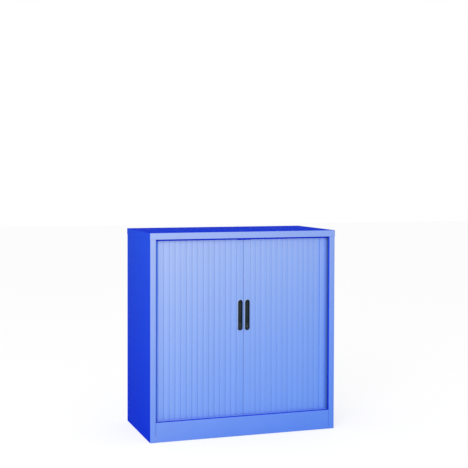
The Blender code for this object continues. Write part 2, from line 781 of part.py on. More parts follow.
def make_guide_shoes():
    """Moulded shoes plugged into the ends of the lead rails, which run in the tracks."""
    edge = GAP
    inside_near = MEETING_GAP / 2 + LEAD_WALL + GAP
    inside_far = MEETING_GAP / 2 + LEAD_WEB - LEAD_WALL - GAP
    tongue_rear = FACE_Y + HINGE_DEPTH + SOCKET_OUTER
    plug_front = FACE_Y + LEAD_WALL + GAP
    ends = {
        "bottom": (SLAT_BOTTOM, LEAD_BOTTOM - GAP, 1),
        "top": (SLAT_TOP, LEAD_TOP + GAP, -1),
    }
    for word, side in SIDES:
        for end, (tip, shoulder, way) in ends.items():
            low_z, high_z = sorted((tip, shoulder))
            tongue = block(
                "%s_%s_guide_shoe" % (word, end),
                *box_between(
                    (MEETING_GAP / 2 + edge, FACE_Y, low_z),
                    (MEETING_GAP / 2 + LEAD_WEB - edge, tongue_rear, high_z),
                    side,
                ),
            )
            low_z, high_z = sorted((shoulder - way * SHOE_PLUG_SINK, shoulder + way * SHOE_PLUG))
            stem = block(
                "plug",
                *box_between((inside_near, plug_front, low_z), (inside_far, tongue_rear, high_z), side),
            )
            join(tongue, [stem])
            put(tongue, (MEETING_GAP / 2 * side, FACE_Y, tip))
            finish_piece(tongue, "dark_track")


def make_handles():
    """Moulded flush handles: a finger recess over a lock seat, parted by a bar."""
    bar_low = HANDLE_END_Z + BAR_ABOVE_END - BAR_HEIGHT / 2
    bar_high = bar_low + BAR_HEIGHT
    pocket_height = HANDLE_HEIGHT - 2 * POCKET_RIM
    recess_width = POCKET_WIDTH - 2 * POCKET_WALL
    recess_height = pocket_height - 2 * POCKET_WALL
    for word, side in SIDES:
        centre = (HANDLE_OFFSET * side, HANDLE_CENTRE_Z)
        x_low = centre[0] - HANDLE_WIDTH
        x_high = centre[0] + HANDLE_WIDTH
        y_low = FACE_Y - HANDLE_PROUD - 2 * OVERRUN
        y_high = FACE_Y + POCKET_DEPTH + OVERRUN
        z_low = HANDLE_CENTRE_Z - HANDLE_HEIGHT
        z_high = HANDLE_CENTRE_Z + HANDLE_HEIGHT
        front = FACE_Y - HANDLE_PROUD
        handle = prism(
            word + "_handle",
            stadium(centre, HANDLE_WIDTH, HANDLE_HEIGHT, STADIUM_STEPS),
            "XZ",
            front,
            FACE_Y - GAP,
        )
        round_front_edge(handle, front)
        pocket = prism(
            "pocket",
            stadium(centre, POCKET_WIDTH, pocket_height, STADIUM_STEPS),
            "XZ",
            front + HANDLE_EDGE,
            FACE_Y + POCKET_DEPTH,
        )
        seat_back = FACE_Y + LOCK_SEAT_DEPTH + POCKET_WALL
        spare = block("spare", (x_low, seat_back, z_low), (x_high, y_high, bar_low))
        cut(pocket, [spare])
        boss = prism(
            "boss",
            circle((centre[0], LOCK_Z), BOSS_RADIUS, BARREL_SIDES),
            "XZ",
            FACE_Y + LOCK_SEAT_DEPTH + POCKET_WALL / 2,
            FACE_Y + BARREL_BACK - GAP,
        )
        join(handle, [pocket, boss])
        recess = prism(
            "recess",
            stadium(centre, recess_width, recess_height, STADIUM_STEPS),
            "XZ",
            front - OVERRUN,
            FACE_Y + POCKET_DEPTH - POCKET_WALL,
        )
        below_bar = block("below_bar", (x_low, y_low, z_low), (x_high, y_high, bar_high))
        cut(recess, [below_bar])
        seat = prism(
            "seat",
            stadium(centre, recess_width, recess_height, STADIUM_STEPS),
            "XZ",
            front - OVERRUN,
            FACE_Y + LOCK_SEAT_DEPTH,
        )
        above_bar = block("above_bar", (x_low, y_low, bar_low), (x_high, y_high, z_high))
        cut(seat, [above_bar])
        tools = [recess, seat]
        if side > 0:
            bore = prism(
                "bore",
                circle((centre[0], LOCK_Z), BARREL_RADIUS + GAP, BARREL_SIDES),
                "XZ",
                FACE_Y - OVERRUN,
                FACE_Y + BARREL_BACK + OVERRUN,
            )
            tools.append(bore)
        cut(handle, tools)
        put(handle, (centre[0], FACE_Y, HANDLE_CENTRE_Z))
        finish_piece(handle, "black_moulding", 35)


def round_front_edge(obj, front):
    """Round the front edge of a moulding."""
    bm = bmesh.new()
    bm.from_mesh(obj.data)
    rim = [edge for edge in bm.edges if all(abs(vert.co.y - front) < GAP / 2 for vert in edge.verts)]
    round_edges(bm, rim, HANDLE_EDGE)
    bmesh.ops.recalc_face_normals(bm, faces=bm.faces)
    bm.to_mesh(obj.data)
    bm.free()


def make_lock():
    """Lock barrel in the right handle, its cam, and the keeper in the left lead rail."""
    screw_back = CAM_BACK + GAP + CAM_SCREW_HEAD
    profile = [
        (0, -BARREL_PROUD),
        (BARREL_RADIUS - BARREL_EDGE, -BARREL_PROUD),
        (BARREL_RADIUS, -BARREL_PROUD + BARREL_EDGE),
        (BARREL_RADIUS, BARREL_BACK),
        (SPIGOT_RADIUS, BARREL_BACK),
        (SPIGOT_RADIUS, CAM_BACK + GAP),
        (CAM_SCREW_RADIUS, CAM_BACK + GAP),
        (CAM_SCREW_RADIUS, screw_back),
        (0, screw_back),
    ]
    place = (HANDLE_OFFSET, FACE_Y, LOCK_Z)
    barrel = turned("lock_barrel", profile, BARREL_SIDES)
    key_slot = block(
        "key_slot",
        (-KEY_SLOT_WIDTH / 2, -KEY_SLOT_LENGTH / 2, -BARREL_PROUD - OVERRUN),
        (KEY_SLOT_WIDTH / 2, KEY_SLOT_LENGTH / 2, -BARREL_PROUD + KEY_SLOT_DEPTH),
    )
    cut(barrel, [key_slot])
    barrel.data.transform(Matrix.Rotation(-math.pi / 2, 4, "X"))
    barrel.location = place
    finish_piece(barrel, "steel", 35)

    half = CAM_WIDTH / 2
    tip = -(CAM_LENGTH - half)
    outline = arc((0, 0), half, 0, math.pi, STADIUM_STEPS)
    outline += arc((0, tip), half, math.pi, math.tau, STADIUM_STEPS)
    cam = prism("lock_cam", outline, "XZ", CAM_FRONT, CAM_BACK)
    bore = circle((0, 0), SPIGOT_RADIUS + GAP, BARREL_SIDES)
    hole = prism("hole", bore, "XZ", CAM_FRONT - OVERRUN, CAM_BACK + OVERRUN)
    cut(cam, [hole])
    cam.location = place
    finish_piece(cam, "zinc", 35)

    near = MEETING_GAP / 2 + LEAD_WALL + GAP
    inside_front = FACE_Y + LEAD_WALL + GAP
    inside_rear = FACE_Y + LEAD_DEPTH - LEAD_WALL - GAP
    keeper = block(
        "lock_keeper",
        (-near - KEEPER_THICK, inside_front, LOCK_Z - cam_drop() - KEEPER_MARGIN),
        (-near, inside_rear, LOCK_Z + CAM_WIDTH / 2 + KEEPER_MARGIN),
    )
    cut(keeper, [cam_slot(-1)])
    put(keeper, (-near, FACE_Y, LOCK_Z))
    finish_piece(keeper, "zinc")


def slot_height(number):
    """Underside of a liner slot, counted from the bottom."""
    return SLOT_FIRST_Z + number * SLOT_PITCH


def make_liners():
    """Inner liners, which part the stored shutters from the shelves and carry the shelves in their slots."""
    for word, side in SIDES:
        path = [
            (LINER_X + LINER_FLANGE, LINER_FRONT_Y),
            (LINER_X, LINER_FRONT_Y),
            (LINER_X, BACK_LIMIT_Y),
            (LINER_X + LINER_FLANGE, BACK_LIMIT_Y),
        ]
        outline = mirrored(bent_sheet(path, SHEET, -1), side)
        liner = prism(word + "_liner", outline, "XY", FLOOR_TOP + GAP, TOP_PANEL_UNDER - GAP)
        cut(liner, [slot_punch(side)])
        finish_piece(liner, "blue_panel_paint")


def slot_punch(side):
    """All the slots of one liner, as one cutter."""
    bm = bmesh.new()
    size = Vector((SHEET + 2 * OVERRUN, SLOT_WIDTH, SLOT_HEIGHT))
    for column in SLOT_COLUMNS:
        for number in range(SLOT_COUNT):
            made = bmesh.ops.create_cube(bm, size=1.0)["verts"]
            bmesh.ops.scale(bm, vec=size, verts=made)
            centre = ((LINER_X + SHEET / 2) * side, column, slot_height(number) + SLOT_HEIGHT / 2)
            bmesh.ops.translate(bm, vec=centre, verts=made)
    mesh = bpy.data.meshes.new("slot_punch")
    bm.to_mesh(mesh)
    bm.free()
    punch = bpy.data.objects.new("slot_punch", mesh)
    bpy.context.scene.collection.objects.link(punch)
    return punch


def make_shelves():
    """Folded shelves, hung by lugs in the slots of the liners."""
    half = LINER_X - GAP
    front = LINER_FRONT_Y + SHELF_SET_BACK
    rear = BACK_LIMIT_Y
    for word, share in zip(("lower", "upper"), SHELF_SLOT_SHARES):
        top = slot_height(round(share * (SLOT_COUNT - 1))) + GAP + SHEET
        shelf = tray(
            word + "_shelf", (-half, front, top - SHELF_LIP), (half, rear, top), "down", TRAY_CORNER, SHEET
        )
        lugs = []
        for column in SLOT_COLUMNS:
            for side in (-1, 1):
                low = (half - TRAY_CORNER - SHEET, column - SHELF_LUG_WIDTH / 2, top - SHEET)
                high = (half + SHELF_LUG_REACH, column + SHELF_LUG_WIDTH / 2, top)
                lugs.append(block("lug", *box_between(low, high, side)))
        hem_z = top - SHELF_LIP + SHELF_HEM_STEP
        lugs.append(
            block(
                "hem",
                (-half + TRAY_CORNER, front + SHEET / 2, hem_z),
                (half - TRAY_CORNER, front + SHELF_HEM, hem_z + SHEET),
            )
        )
        join(shelf, lugs)
        finish_piece(shelf, "blue_panel_paint")


def main():
    clear_scene()
    make_top_cap()
    make_top_panel()
    make_side_panels()
    make_back_panel()
    make_floor_panel()
    make_plinth()
    make_base_rails()
    make_feet()
    make_tracks()
    make_liners()
    make_shelves()
    make_lead_rails()
    make_guide_shoes()
    make_handles()
    make_lock()
    make_slats()


main()
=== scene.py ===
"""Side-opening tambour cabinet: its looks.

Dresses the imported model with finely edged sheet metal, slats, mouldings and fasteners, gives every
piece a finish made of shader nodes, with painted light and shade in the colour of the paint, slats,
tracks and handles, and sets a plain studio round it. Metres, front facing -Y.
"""

import json
import math

import bmesh
import bpy
from bpy.props import FloatProperty, FloatVectorProperty, IntProperty, PointerProperty
from mathutils import Matrix, Vector


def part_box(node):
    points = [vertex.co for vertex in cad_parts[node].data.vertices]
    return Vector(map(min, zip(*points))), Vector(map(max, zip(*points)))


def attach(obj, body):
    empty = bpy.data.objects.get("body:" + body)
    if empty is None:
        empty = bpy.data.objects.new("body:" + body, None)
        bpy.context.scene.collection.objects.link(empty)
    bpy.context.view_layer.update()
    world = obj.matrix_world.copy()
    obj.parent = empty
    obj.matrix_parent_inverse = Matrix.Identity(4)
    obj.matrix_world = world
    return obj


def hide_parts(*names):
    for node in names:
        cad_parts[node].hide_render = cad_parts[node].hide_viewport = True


bl_info = {
    "name": "Tambour Cabinet",
    "version": (1, 0, 0),
    "blender": (4, 5, 0),
    "location": "3D View > Sidebar > Cabinet",
    "description": "Dresses a tambour cabinet's packed model and sets a studio round it",
    "category": "Object",
}

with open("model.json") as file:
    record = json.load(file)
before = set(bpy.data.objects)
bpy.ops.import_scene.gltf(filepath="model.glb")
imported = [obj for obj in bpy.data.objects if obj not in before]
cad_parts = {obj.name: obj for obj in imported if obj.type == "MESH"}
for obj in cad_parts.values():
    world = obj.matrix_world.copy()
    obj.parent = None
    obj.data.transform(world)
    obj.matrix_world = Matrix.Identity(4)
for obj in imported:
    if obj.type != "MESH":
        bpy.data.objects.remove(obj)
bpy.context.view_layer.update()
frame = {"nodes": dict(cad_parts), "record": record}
BODY_OF = {node: body for body, nodes in frame["record"]["behaviour"]["bodies"].items() for node in nodes}
SLOT_OF = {part["node"]: part["material_slot"] for part in frame["record"]["subparts"]}

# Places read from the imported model
CAP_LOW, CAP_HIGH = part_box("top_cap")
PLINTH_LOW, PLINTH_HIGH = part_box("plinth")
PANEL_LOW, PANEL_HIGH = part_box("right_side_panel")
BACK_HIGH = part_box("back_panel")[1]
LEAD_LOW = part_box("right_lead_rail")[0]
HANDLE_LOW, HANDLE_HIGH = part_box("right_handle")
BARREL_LOW, BARREL_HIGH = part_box("lock_barrel")
SLAT_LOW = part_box("right_slat_01")[0]
NEXT_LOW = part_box("right_slat_02")[0]
SIDES = (("left", -1), ("right", 1))

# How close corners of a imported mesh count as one, and how flat a joined face is
WELD = 0.00002
FLAT = math.radians(0.4)

# How far edges may turn and still be shaded smooth: on sheet, feet, handles and heads
ROUND = math.radians(40)
FOOT_ROUND = math.radians(32)
HANDLE_ROUND = math.radians(35)
HEAD_ROUND = math.radians(50)

# Facets round a foot, a handle's ends and the lock's bore
FOOT_STEPS = 40
HANDLE_STEPS = 48
BORE_STEPS = 32

# Which way a handle's painted rim highlight faces, how wide its rounding is, and how far in it counts as sunk
HIGHLIGHT_TOWARDS = (-0.7, -0.2, 0.68)
RIM_ROUND = 0.0024
HANDLE_SUNK = 0.004

# How the front paint's painted light runs and turns, and what differs on the shutters: a painted highlight at
# the upper left fading to painted shade at the lower right, and painted shade where faces turn away
FRONT_TINT_AND_LIGHT = {
    "Across": 0.342,
    "Up": 0.692,
    "Curve": 1.263,
    "Turn Start": 0.55,
    "Turn End": 0.97,
    "Turn Left": 0.0,
    "Lean": 0.0,
    "Rearward": 0.35,
}
# On the slats, Lean paints each crown lighter where it faces left and darker where it faces right: painted
# light and shade
SHUTTER_TINT_AND_LIGHT = {"Across": 0.267, "Up": 0.428, "Curve": 1.422, "Lean": 0.4}
# The four shades: painted light and shade to the front, and painted shade, high and low, on faces turned away
SHADES = ("Bright", "Deep", "High", "Low")

# Play round the lock barrel in its bore, and how far a head is sunk in its sheet
BORE_PLAY = 0.0003
RIVET_SINK = 0.0006
SCREW_SINK = 0.0005
SHEET_GAP = 0.0001

# Brings the floor's seen white up to the sky's, where the lamps leave it a little short
FLOOR_WHITE = 1.2


def length(name, description, default, low=0.0, high=1.0):
    """A size that a user can change."""
    return FloatProperty(
        name=name, description=description, default=default, min=low, max=high, unit="LENGTH"
    )


def colour(name, description, default):
    """A colour that a user can change."""
    return FloatVectorProperty(
        name=name, description=description, default=default, min=0.0, max=1.0, size=3, subtype="COLOR"
    )


def share(name, description, default, high=1.0):
    """A plain number that a user can change."""
    return FloatProperty(name=name, description=description, default=default, min=0.0, max=high)


class CabinetSizes(bpy.types.PropertyGroup):
    """Sizes of the cabinet's finer forms."""

    sheet_edge: length("Sheet edge", "Rounding of the cut edges of folded sheet", 0.00025)
    moulding_edge: length("Moulding edge", "Rounding of small mouldings", 0.0004)
    cap_fold: length("Cap fold", "Radius of the cap's folds", 0.0026)
    cap_sheet: length("Cap sheet", "Thickness of the cap's sheet", 0.0012)
    cap_return: length("Cap return", "Depth of the return under the cap's front", 0.0125)
    handle_round: length("Handle round", "Radius of the handle's front edge", 0.0022)
    handle_rim: length("Handle rim", "Width of the handle's rim round its recess", 0.00445)
    handle_mouth: length("Handle mouth", "Radius of the recess's inner edge", 0.0007)
    handle_floor: length("Handle floor", "Radius at the foot of the recess", 0.0022)
    recess_depth: length("Recess depth", "Depth of the finger recess behind the shutter's face", 0.0111)
    seat_depth: length("Seat depth", "Depth of the lock seat behind the shutter's face", 0.0016)
    bar_above_end: length("Bar height", "Middle of the bar above the handle's lower end", 0.04425)
    bar_width: length("Bar width", "Height of the bar between recess and lock seat", 0.0040)
    pocket_inset: length("Pocket inset", "How far the pocket behind stands in from the outline", 0.00305)
    pocket_depth: length("Pocket depth", "How far the pocket reaches behind the shutter's face", 0.0125)
    rivet_radius: length("Rivet radius", "Radius of a blind rivet's head", 0.0032)
    rivet_height: length("Rivet height", "Height of a blind rivet's head", 0.0011)
    rivet_count: IntProperty(name="Rivets", description="Rivets up each rear edge", default=6, min=2, max=12)
    screw_radius: length("Screw radius", "Radius of a small screw's head", 0.0026)
    screw_head: length("Screw head", "Height of a small screw's head", 0.0009)
    pocket_wall: length("Pocket wall", "Wall of the handle's pocket", 0.0014)
    boss_radius: length("Boss radius", "Radius of the boss behind the lock seat", 0.0080)
    boss_depth: length("Boss depth", "How far the boss reaches behind the shutter's face", 0.0082)
    stem_radius: length("Stem radius", "Radius of a levelling foot's thread", 0.0040)
    thread_start: length("Thread start", "Height of the start of the thread", 0.0120)
    thread_end: length("Thread end", "Height of the end of the thread", 0.0360)
    thread_pitch: length("Thread pitch", "Pitch of a levelling foot's thread", 0.00125)
    rivet_from_edge: length("Rivet edge", "Rivets in from the cabinet's side", 0.0080)
    rivet_from_end: length("Rivet end", "First and last rivet from the panel's ends", 0.0600)
    plinth_screw_inset: length("Plinth screw inset", "Screw in from either end of the plinth", 0.0036)
    plinth_screw_height: length("Plinth screw height", "Height of the screws in the plinth", 0.0270)


class CabinetColours(bpy.types.PropertyGroup):
    """Colours of the cabinet's finishes, with the painted light and shade in them."""

    # The front paint's blue with painted light: a pale painted sheen to the front, lit at the upper left and
    # shaded to the lower right, and painted shade on turned faces, deeper at the base
    front_bright: colour("Front, bright", "Paint to the front, upper left", (0.380, 0.494, 0.879))
    front_deep: colour("Front, deep", "Paint to the front, lower right", (0.128, 0.293, 0.919))
    front_high: colour("Turned, high", "Paint turned from the front, at the top", (0.024, 0.092, 0.830))
    front_low: colour("Turned, low", "Paint turned from the front, at the base", (0.009, 0.045, 0.760))
    # The slats' blue, with the same painted sheen, painted highlight and painted shade
    slat_bright: colour("Slats, bright", "Slats, upper left", (0.604, 0.676, 0.834))
    slat_deep: colour("Slats, deep", "Slats, lower right", (0.164, 0.350, 0.955))
    slat_high: colour("Slats, turned, high", "Slats turned from the front, at the top", (0.110, 0.300, 1.000))
    slat_low: colour("Slats, turned, low", "Slats turned from the front, at the base", (0.070, 0.220, 1.000))
    # Deep blue of the tracks; on the top track's front it stands as painted shade under the cap
    track: colour("Track", "Plastic of the tracks", (0.006, 0.040, 0.900))
    moulding: colour("Moulding", "Black of the handles", (0.006, 0.013, 0.018))
    # Painted light: a paler black down in the recess, over the shade that falls there
    recess: colour("Recess", "The handles' black down in the recess", (0.026, 0.043, 0.054))
    # A painted highlight on the handles' rounded rims, to the light
    rubbed: colour("Rubbed moulding", "The handles' rounded rims, to the light", (0.540, 0.620, 0.660))
    zinc: colour("Zinc", "Zinc plate", (0.480, 0.490, 0.510))
    steel: colour("Steel", "Nickelled steel", (0.075, 0.080, 0.088))
    nylon: colour("Nylon", "Plastic of the levelling feet", (0.060, 0.065, 0.075))
    floor: colour("Floor", "Studio floor", (0.930, 0.930, 0.930))


class StudioSettings(bpy.types.PropertyGroup):
    """Camera, lamps and floor."""

    camera_place: FloatVectorProperty(
        name="Camera place",
        description="Where the camera stands",
        default=(-1.7436, -4.8124, 1.3238),
        subtype="XYZ",
    )
    camera_turn: FloatVectorProperty(
        name="Camera turn",
        description="Turn to the right, tilt down and roll",
        default=(math.radians(17.1625), math.radians(1.5204), math.radians(0.0843)),
        subtype="EULER",
    )
    camera_lens: FloatProperty(name="Lens", description="Focal length in millimetres", default=74.377)
    camera_shift: FloatVectorProperty(
        name="Shift", description="Shift of the picture", default=(0.10867, -0.07038), size=2
    )
    ambient: share("Ambient", "Strength of the sky on the object", 0.66, 4.0)
    key_power: FloatProperty(name="Key lamp", description="Power of the key lamp in watts", default=95.0)
    key_size: length("Key size", "Width of the key lamp", 2.4, 0.1, 10.0)
    key_place: FloatVectorProperty(
        name="Key place", description="Where the key lamp hangs", default=(-2.6, -3.9, 3.1), subtype="XYZ"
    )
    floor_size: length("Floor size", "Width of the studio floor", 40.0, 1.0, 100.0)
    floor_glow: share("Floor glow", "How much of the floor's white is its own", 0.6)


def add_node(tree, kind, place, **settings):
    """A shader node with its settings."""
    made = tree.nodes.new("ShaderNode" + kind)
    made.location = place
    for name, value in settings.items():
        setattr(made, name, value)
    return made


def feed(tree, socket, value):
    """Wire a socket to an output, or set it to a value."""
    if isinstance(value, bpy.types.NodeSocket):
        tree.links.new(value, socket)
    else:
        socket.default_value = value


def calculate(tree, operation, place, *values, clamp=False):
    """A Math node's result."""
    made = add_node(tree, "Math", place, operation=operation, use_clamp=clamp)
    for socket, value in zip(made.inputs, values):
        feed(tree, socket, value)
    return made.outputs[0]


def spread(tree, place, value, old, new=(0, 1), kind="LINEAR"):
    """A Map Range node's result, from one span of values to another."""
    made = add_node(tree, "MapRange", place, interpolation_type=kind)
    for label, number in zip(("Value", "From Min", "From Max", "To Min", "To Max"), (value, *old, *new)):
        feed(tree, made.inputs[label], number)
    return made.outputs["Result"]


def blend_colours(tree, place, factor, first, second, blend="MIX"):
    """A colour Mix node's result."""
    made = add_node(tree, "Mix", place, data_type="RGBA", blend_type=blend)
    feed(tree, made.inputs["Factor"], factor)
    feed(tree, made.inputs[6], first)
    feed(tree, made.inputs[7], second)
    return made.outputs[2]


def new_group(name, inputs, outputs):
    """An empty node group with named inputs and outputs."""
    tree = bpy.data.node_groups.new(name, "ShaderNodeTree")
    for label, kind, default in inputs:
        socket = tree.interface.new_socket(name=label, in_out="INPUT", socket_type="NodeSocket" + kind)
        socket.default_value = default
    for label, kind in outputs:
        tree.interface.new_socket(name=label, in_out="OUTPUT", socket_type="NodeSocket" + kind)
    return tree, tree.nodes.new("NodeGroupInput"), tree.nodes.new("NodeGroupOutput")


def coordinates(tree):
    """Texture coordinates, and the place on each axis."""
    where = add_node(tree, "TexCoord", (-1100, 0))
    place = add_node(tree, "SeparateXYZ", (-900, 0))
    tree.links.new(where.outputs["Object"], place.inputs[0])
    return where.outputs, place.outputs


def textures(tree, *settings):
    """Texture nodes on Object coordinates, each from its kind, scale, detail and other settings."""
    where = add_node(tree, "TexCoord", (-900, 0))
    made = []
    for kind, scale, detail, more in settings:
        node = add_node(tree, kind, (-300, 200 - 250 * len(made)), **more)
        tree.links.new(where.outputs["Object"], node.inputs["Vector"])
        feed(tree, node.inputs["Scale"], scale)
        if detail is not None:
            node.inputs["Detail"].default_value = detail
        made.append(node.outputs)
    return made


def send(tree, end, **values):
    """Wire values to the outputs of a group."""
    for label, value in values.items():
        tree.links.new(value, end.inputs[label])


def build_tint(name):
    """Blue paint with painted light and shade: a face's colour by the way it faces and its place on the
    cabinet.
    """
    inputs = [(label, "Color", (1, 1, 1, 1)) for label in SHADES]
    inputs += [(label, "Float", value) for label, value in FRONT_TINT_AND_LIGHT.items()]
    tree, start, end = new_group(name, inputs, [("Colour", "Color"), ("Front", "Float")])
    given = start.outputs
    where, place = coordinates(tree)
    facing = add_node(tree, "SeparateXYZ", (-900, -200))
    tree.links.new(where["Normal"], facing.inputs[0])
    aside, back, up = facing.outputs
    # Painted light: a highlight at the upper left fading to painted shade at the lower right, and on the
    # slats each crown lighter where it leans left
    left = calculate(tree, "SUBTRACT", (-600, 300), CAP_HIGH.x, place["X"])
    across = calculate(tree, "MULTIPLY", (-500, 300), left, given["Across"])
    height = calculate(tree, "DIVIDE", (-500, 100), place["Z"], CAP_HIGH.z, clamp=True)
    upright = calculate(tree, "MULTIPLY_ADD", (-400, 300), height, given["Up"], across)
    lean = calculate(tree, "MULTIPLY", (-500, -50), aside, given["Lean"])
    slant = calculate(tree, "SUBTRACT", (-300, 300), upright, lean)
    above = calculate(tree, "MAXIMUM", (-200, 300), slant, 0.0)
    bright = calculate(tree, "POWER", (-100, 300), above, given["Curve"])
    front = blend_colours(tree, (100, 300), bright, given["Deep"], given["Bright"])
    # Painted shade on turned faces: deeper low down, further back and where they face up
    behind = calculate(tree, "SUBTRACT", (-700, 0), place["Y"], CAP_LOW.y)
    deeper = calculate(tree, "MULTIPLY_ADD", (-500, 0), behind, given["Rearward"], up)
    level = calculate(tree, "SUBTRACT", (-300, 0), height, deeper, clamp=True)
    turned = blend_colours(tree, (100, 0), level, given["Low"], given["High"])
    # Faces turned to the left count as turned away: painted shade beside the left jamb
    to_left = calculate(tree, "MINIMUM", (-700, -300), aside, 0.0)
    turned_left = calculate(tree, "MULTIPLY", (-500, -300), to_left, given["Turn Left"])
    ahead = calculate(tree, "SUBTRACT", (-400, -200), turned_left, back)
    span = (given["Turn Start"], given["Turn End"])
    mask = spread(tree, (-300, -200), ahead, span, kind="SMOOTHSTEP")
    send(tree, end, Colour=blend_colours(tree, (300, 100), mask, turned, front), Front=mask)
    return tree


def build_coat(name):
    """Texture of a baked powder coat: fine orange peel, and a slow drift over the sheet."""
    inputs = [("Peel", "Float", 900.0), ("Drift", "Float", 7.0)]
    tree, start, end = new_group(name, inputs, [("Height", "Float"), ("Mottle", "Float")])
    scale = start.outputs["Peel"]
    coarser = calculate(tree, "MULTIPLY", (-450, -50), scale, 0.6)
    peel, fleck, drift = textures(
        tree,
        ("TexNoise", scale, 1.0, {}),
        ("TexVoronoi", coarser, None, {"feature": "SMOOTH_F1"}),
        ("TexNoise", start.outputs["Drift"], 3.0, {}),
    )
    height = calculate(tree, "MULTIPLY_ADD", (0, 100), fleck["Distance"], -0.5, peel["Fac"])
    send(tree, end, Height=height, Mottle=drift["Fac"])
    return tree


def build_streaks(name):
    """Fine lines that an extrusion die leaves along an upright plastic section."""
    inputs = [("Fineness", "Float", 1400.0), ("Stretch", "Float", 0.004)]
    tree, start, end = new_group(name, inputs, [("Height", "Float"), ("Shade", "Float")])
    place = coordinates(tree)[1]
    drawn = add_node(tree, "CombineXYZ", (-300, 0))
    squeezed = calculate(tree, "MULTIPLY", (-500, -100), place["Z"], start.outputs["Stretch"])
    for axis, value in (("X", place["X"]), ("Y", place["Y"]), ("Z", squeezed)):
        tree.links.new(value, drawn.inputs[axis])
    for label, part, level in (("Height", 1.0, 150), ("Shade", 0.12, -150)):
        noise = add_node(tree, "TexNoise", (-100, level))
        tree.links.new(drawn.outputs[0], noise.inputs["Vector"])
        scale = calculate(tree, "MULTIPLY", (-300, 200), start.outputs["Fineness"], part)
        tree.links.new(scale, noise.inputs["Scale"])
        noise.inputs["Detail"].default_value = 2.0
        tree.links.new(noise.outputs["Fac"], end.inputs[label])
    return tree


def build_batch(name):
    """A slightly different tone for each slat, from its place along the shutter."""
    inputs = [("First", "Float", SLAT_LOW.x), ("Pitch", "Float", NEXT_LOW.x - SLAT_LOW.x)]
    tree, start, end = new_group(name, inputs, [("Tone", "Float")])
    place = coordinates(tree)[1]
    out = calculate(tree, "ABSOLUTE", (-500, 0), place["X"])
    along = calculate(tree, "SUBTRACT", (-300, 0), out, start.outputs["First"])
    pitches = calculate(tree, "DIVIDE", (-200, 0), along, start.outputs["Pitch"])
    number = calculate(tree, "FLOOR", (-100, 0), pitches)
    side = calculate(tree, "SIGN", (-100, -200), place["X"])
    random = add_node(tree, "TexWhiteNoise", (300, 0), noise_dimensions="1D")
    feed(tree, random.inputs["W"], calculate(tree, "MULTIPLY_ADD", (100, 0), side, 100.0, number))
    send(tree, end, Tone=random.outputs["Value"])
    return tree


def build_grain(name):
    """Fine spark-eroded grain of a moulding, and where fingers have polished it."""
    inputs = [("Grain", "Float", 2600.0)]
    tree, start, end = new_group(name, inputs, [("Height", "Float"), ("Polish", "Float")])
    grain, polish = textures(
        tree,
        ("TexVoronoi", start.outputs["Grain"], None, {"feature": "F1"}),
        ("TexNoise", 60.0, 3.0, {}),
    )
    send(tree, end, Height=grain["Distance"], Polish=polish["Fac"])
    return tree


def build_rub(name):
    """Where a painted highlight goes on a handle's rim, on its rounding to the upper left, and where it is
    sunk.
    """
    inputs = [("Start", "Float", 0.4), ("End", "Float", 0.72)]
    tree, start, end = new_group(name, inputs, [("Rubbed", "Float"), ("Sunk", "Float")])
    where, place = coordinates(tree)
    facing = add_node(tree, "VectorMath", (-500, 100), operation="DOT_PRODUCT")
    facing.inputs[1].default_value = HIGHLIGHT_TOWARDS
    tree.links.new(where["Normal"], facing.inputs[0])
    span = (start.outputs["Start"], start.outputs["End"])
    turned = spread(tree, (-300, 100), facing.outputs["Value"], span, kind="SMOOTHSTEP")
    proud = calculate(tree, "LESS_THAN", (-300, -150), place["Y"], LEAD_LOW.y)
    radius = (HANDLE_HIGH.x - HANDLE_LOW.x) / 2
    middle = (HANDLE_HIGH + HANDLE_LOW) / 2
    spine_end = (HANDLE_HIGH.z - HANDLE_LOW.z) / 2 - radius
    out = calculate(tree, "ABSOLUTE", (-700, -300), place["X"])
    aside = calculate(tree, "SUBTRACT", (-600, -300), out, middle.x)
    lift = calculate(tree, "SUBTRACT", (-800, -450), place["Z"], middle.z)
    reach = calculate(tree, "ABSOLUTE", (-700, -450), lift)
    beyond = calculate(tree, "SUBTRACT", (-600, -450), reach, spine_end)
    past_end = calculate(tree, "MAXIMUM", (-500, -450), beyond, 0.0)
    square = calculate(tree, "MULTIPLY", (-500, -300), aside, aside)
    total = calculate(tree, "MULTIPLY_ADD", (-400, -400), past_end, past_end, square)
    distance = calculate(tree, "SQRT", (-300, -400), total)
    outside = calculate(tree, "GREATER_THAN", (-200, -400), distance, radius - RIM_ROUND)
    rounding = calculate(tree, "MULTIPLY", (-100, -200), proud, outside)
    rubbed = calculate(tree, "MULTIPLY", (0, 0), turned, rounding)
    # How far in a face is sunk, for the recess's paler painted light
    sunk = spread(tree, (0, -350), place["Y"], (HANDLE_LOW.y, LEAD_LOW.y + HANDLE_SUNK))
    send(tree, end, Rubbed=rubbed, Sunk=sunk)
    return tree


def build_bloom(name):
    """Cloudy bloom and scratches of zinc plate."""
    inputs = [("Bloom", "Float", 90.0)]
    tree, start, end = new_group(name, inputs, [("Cloud", "Float"), ("Scratch", "Float")])
    (cloud,) = textures(tree, ("TexNoise", start.outputs["Bloom"], 5.0, {}))
    along = add_node(tree, "Mapping", (-600, -150))
    along.inputs["Scale"].default_value = (1.0, 0.04, 1.0)
    tree.links.new(coordinates(tree)[0]["Object"], along.inputs["Vector"])
    scratch = add_node(tree, "TexNoise", (-300, -150))
    scratch.inputs["Scale"].default_value = 1200.0
    tree.links.new(along.outputs[0], scratch.inputs["Vector"])
    send(tree, end, Cloud=cloud["Fac"], Scratch=scratch.outputs["Fac"])
    return tree


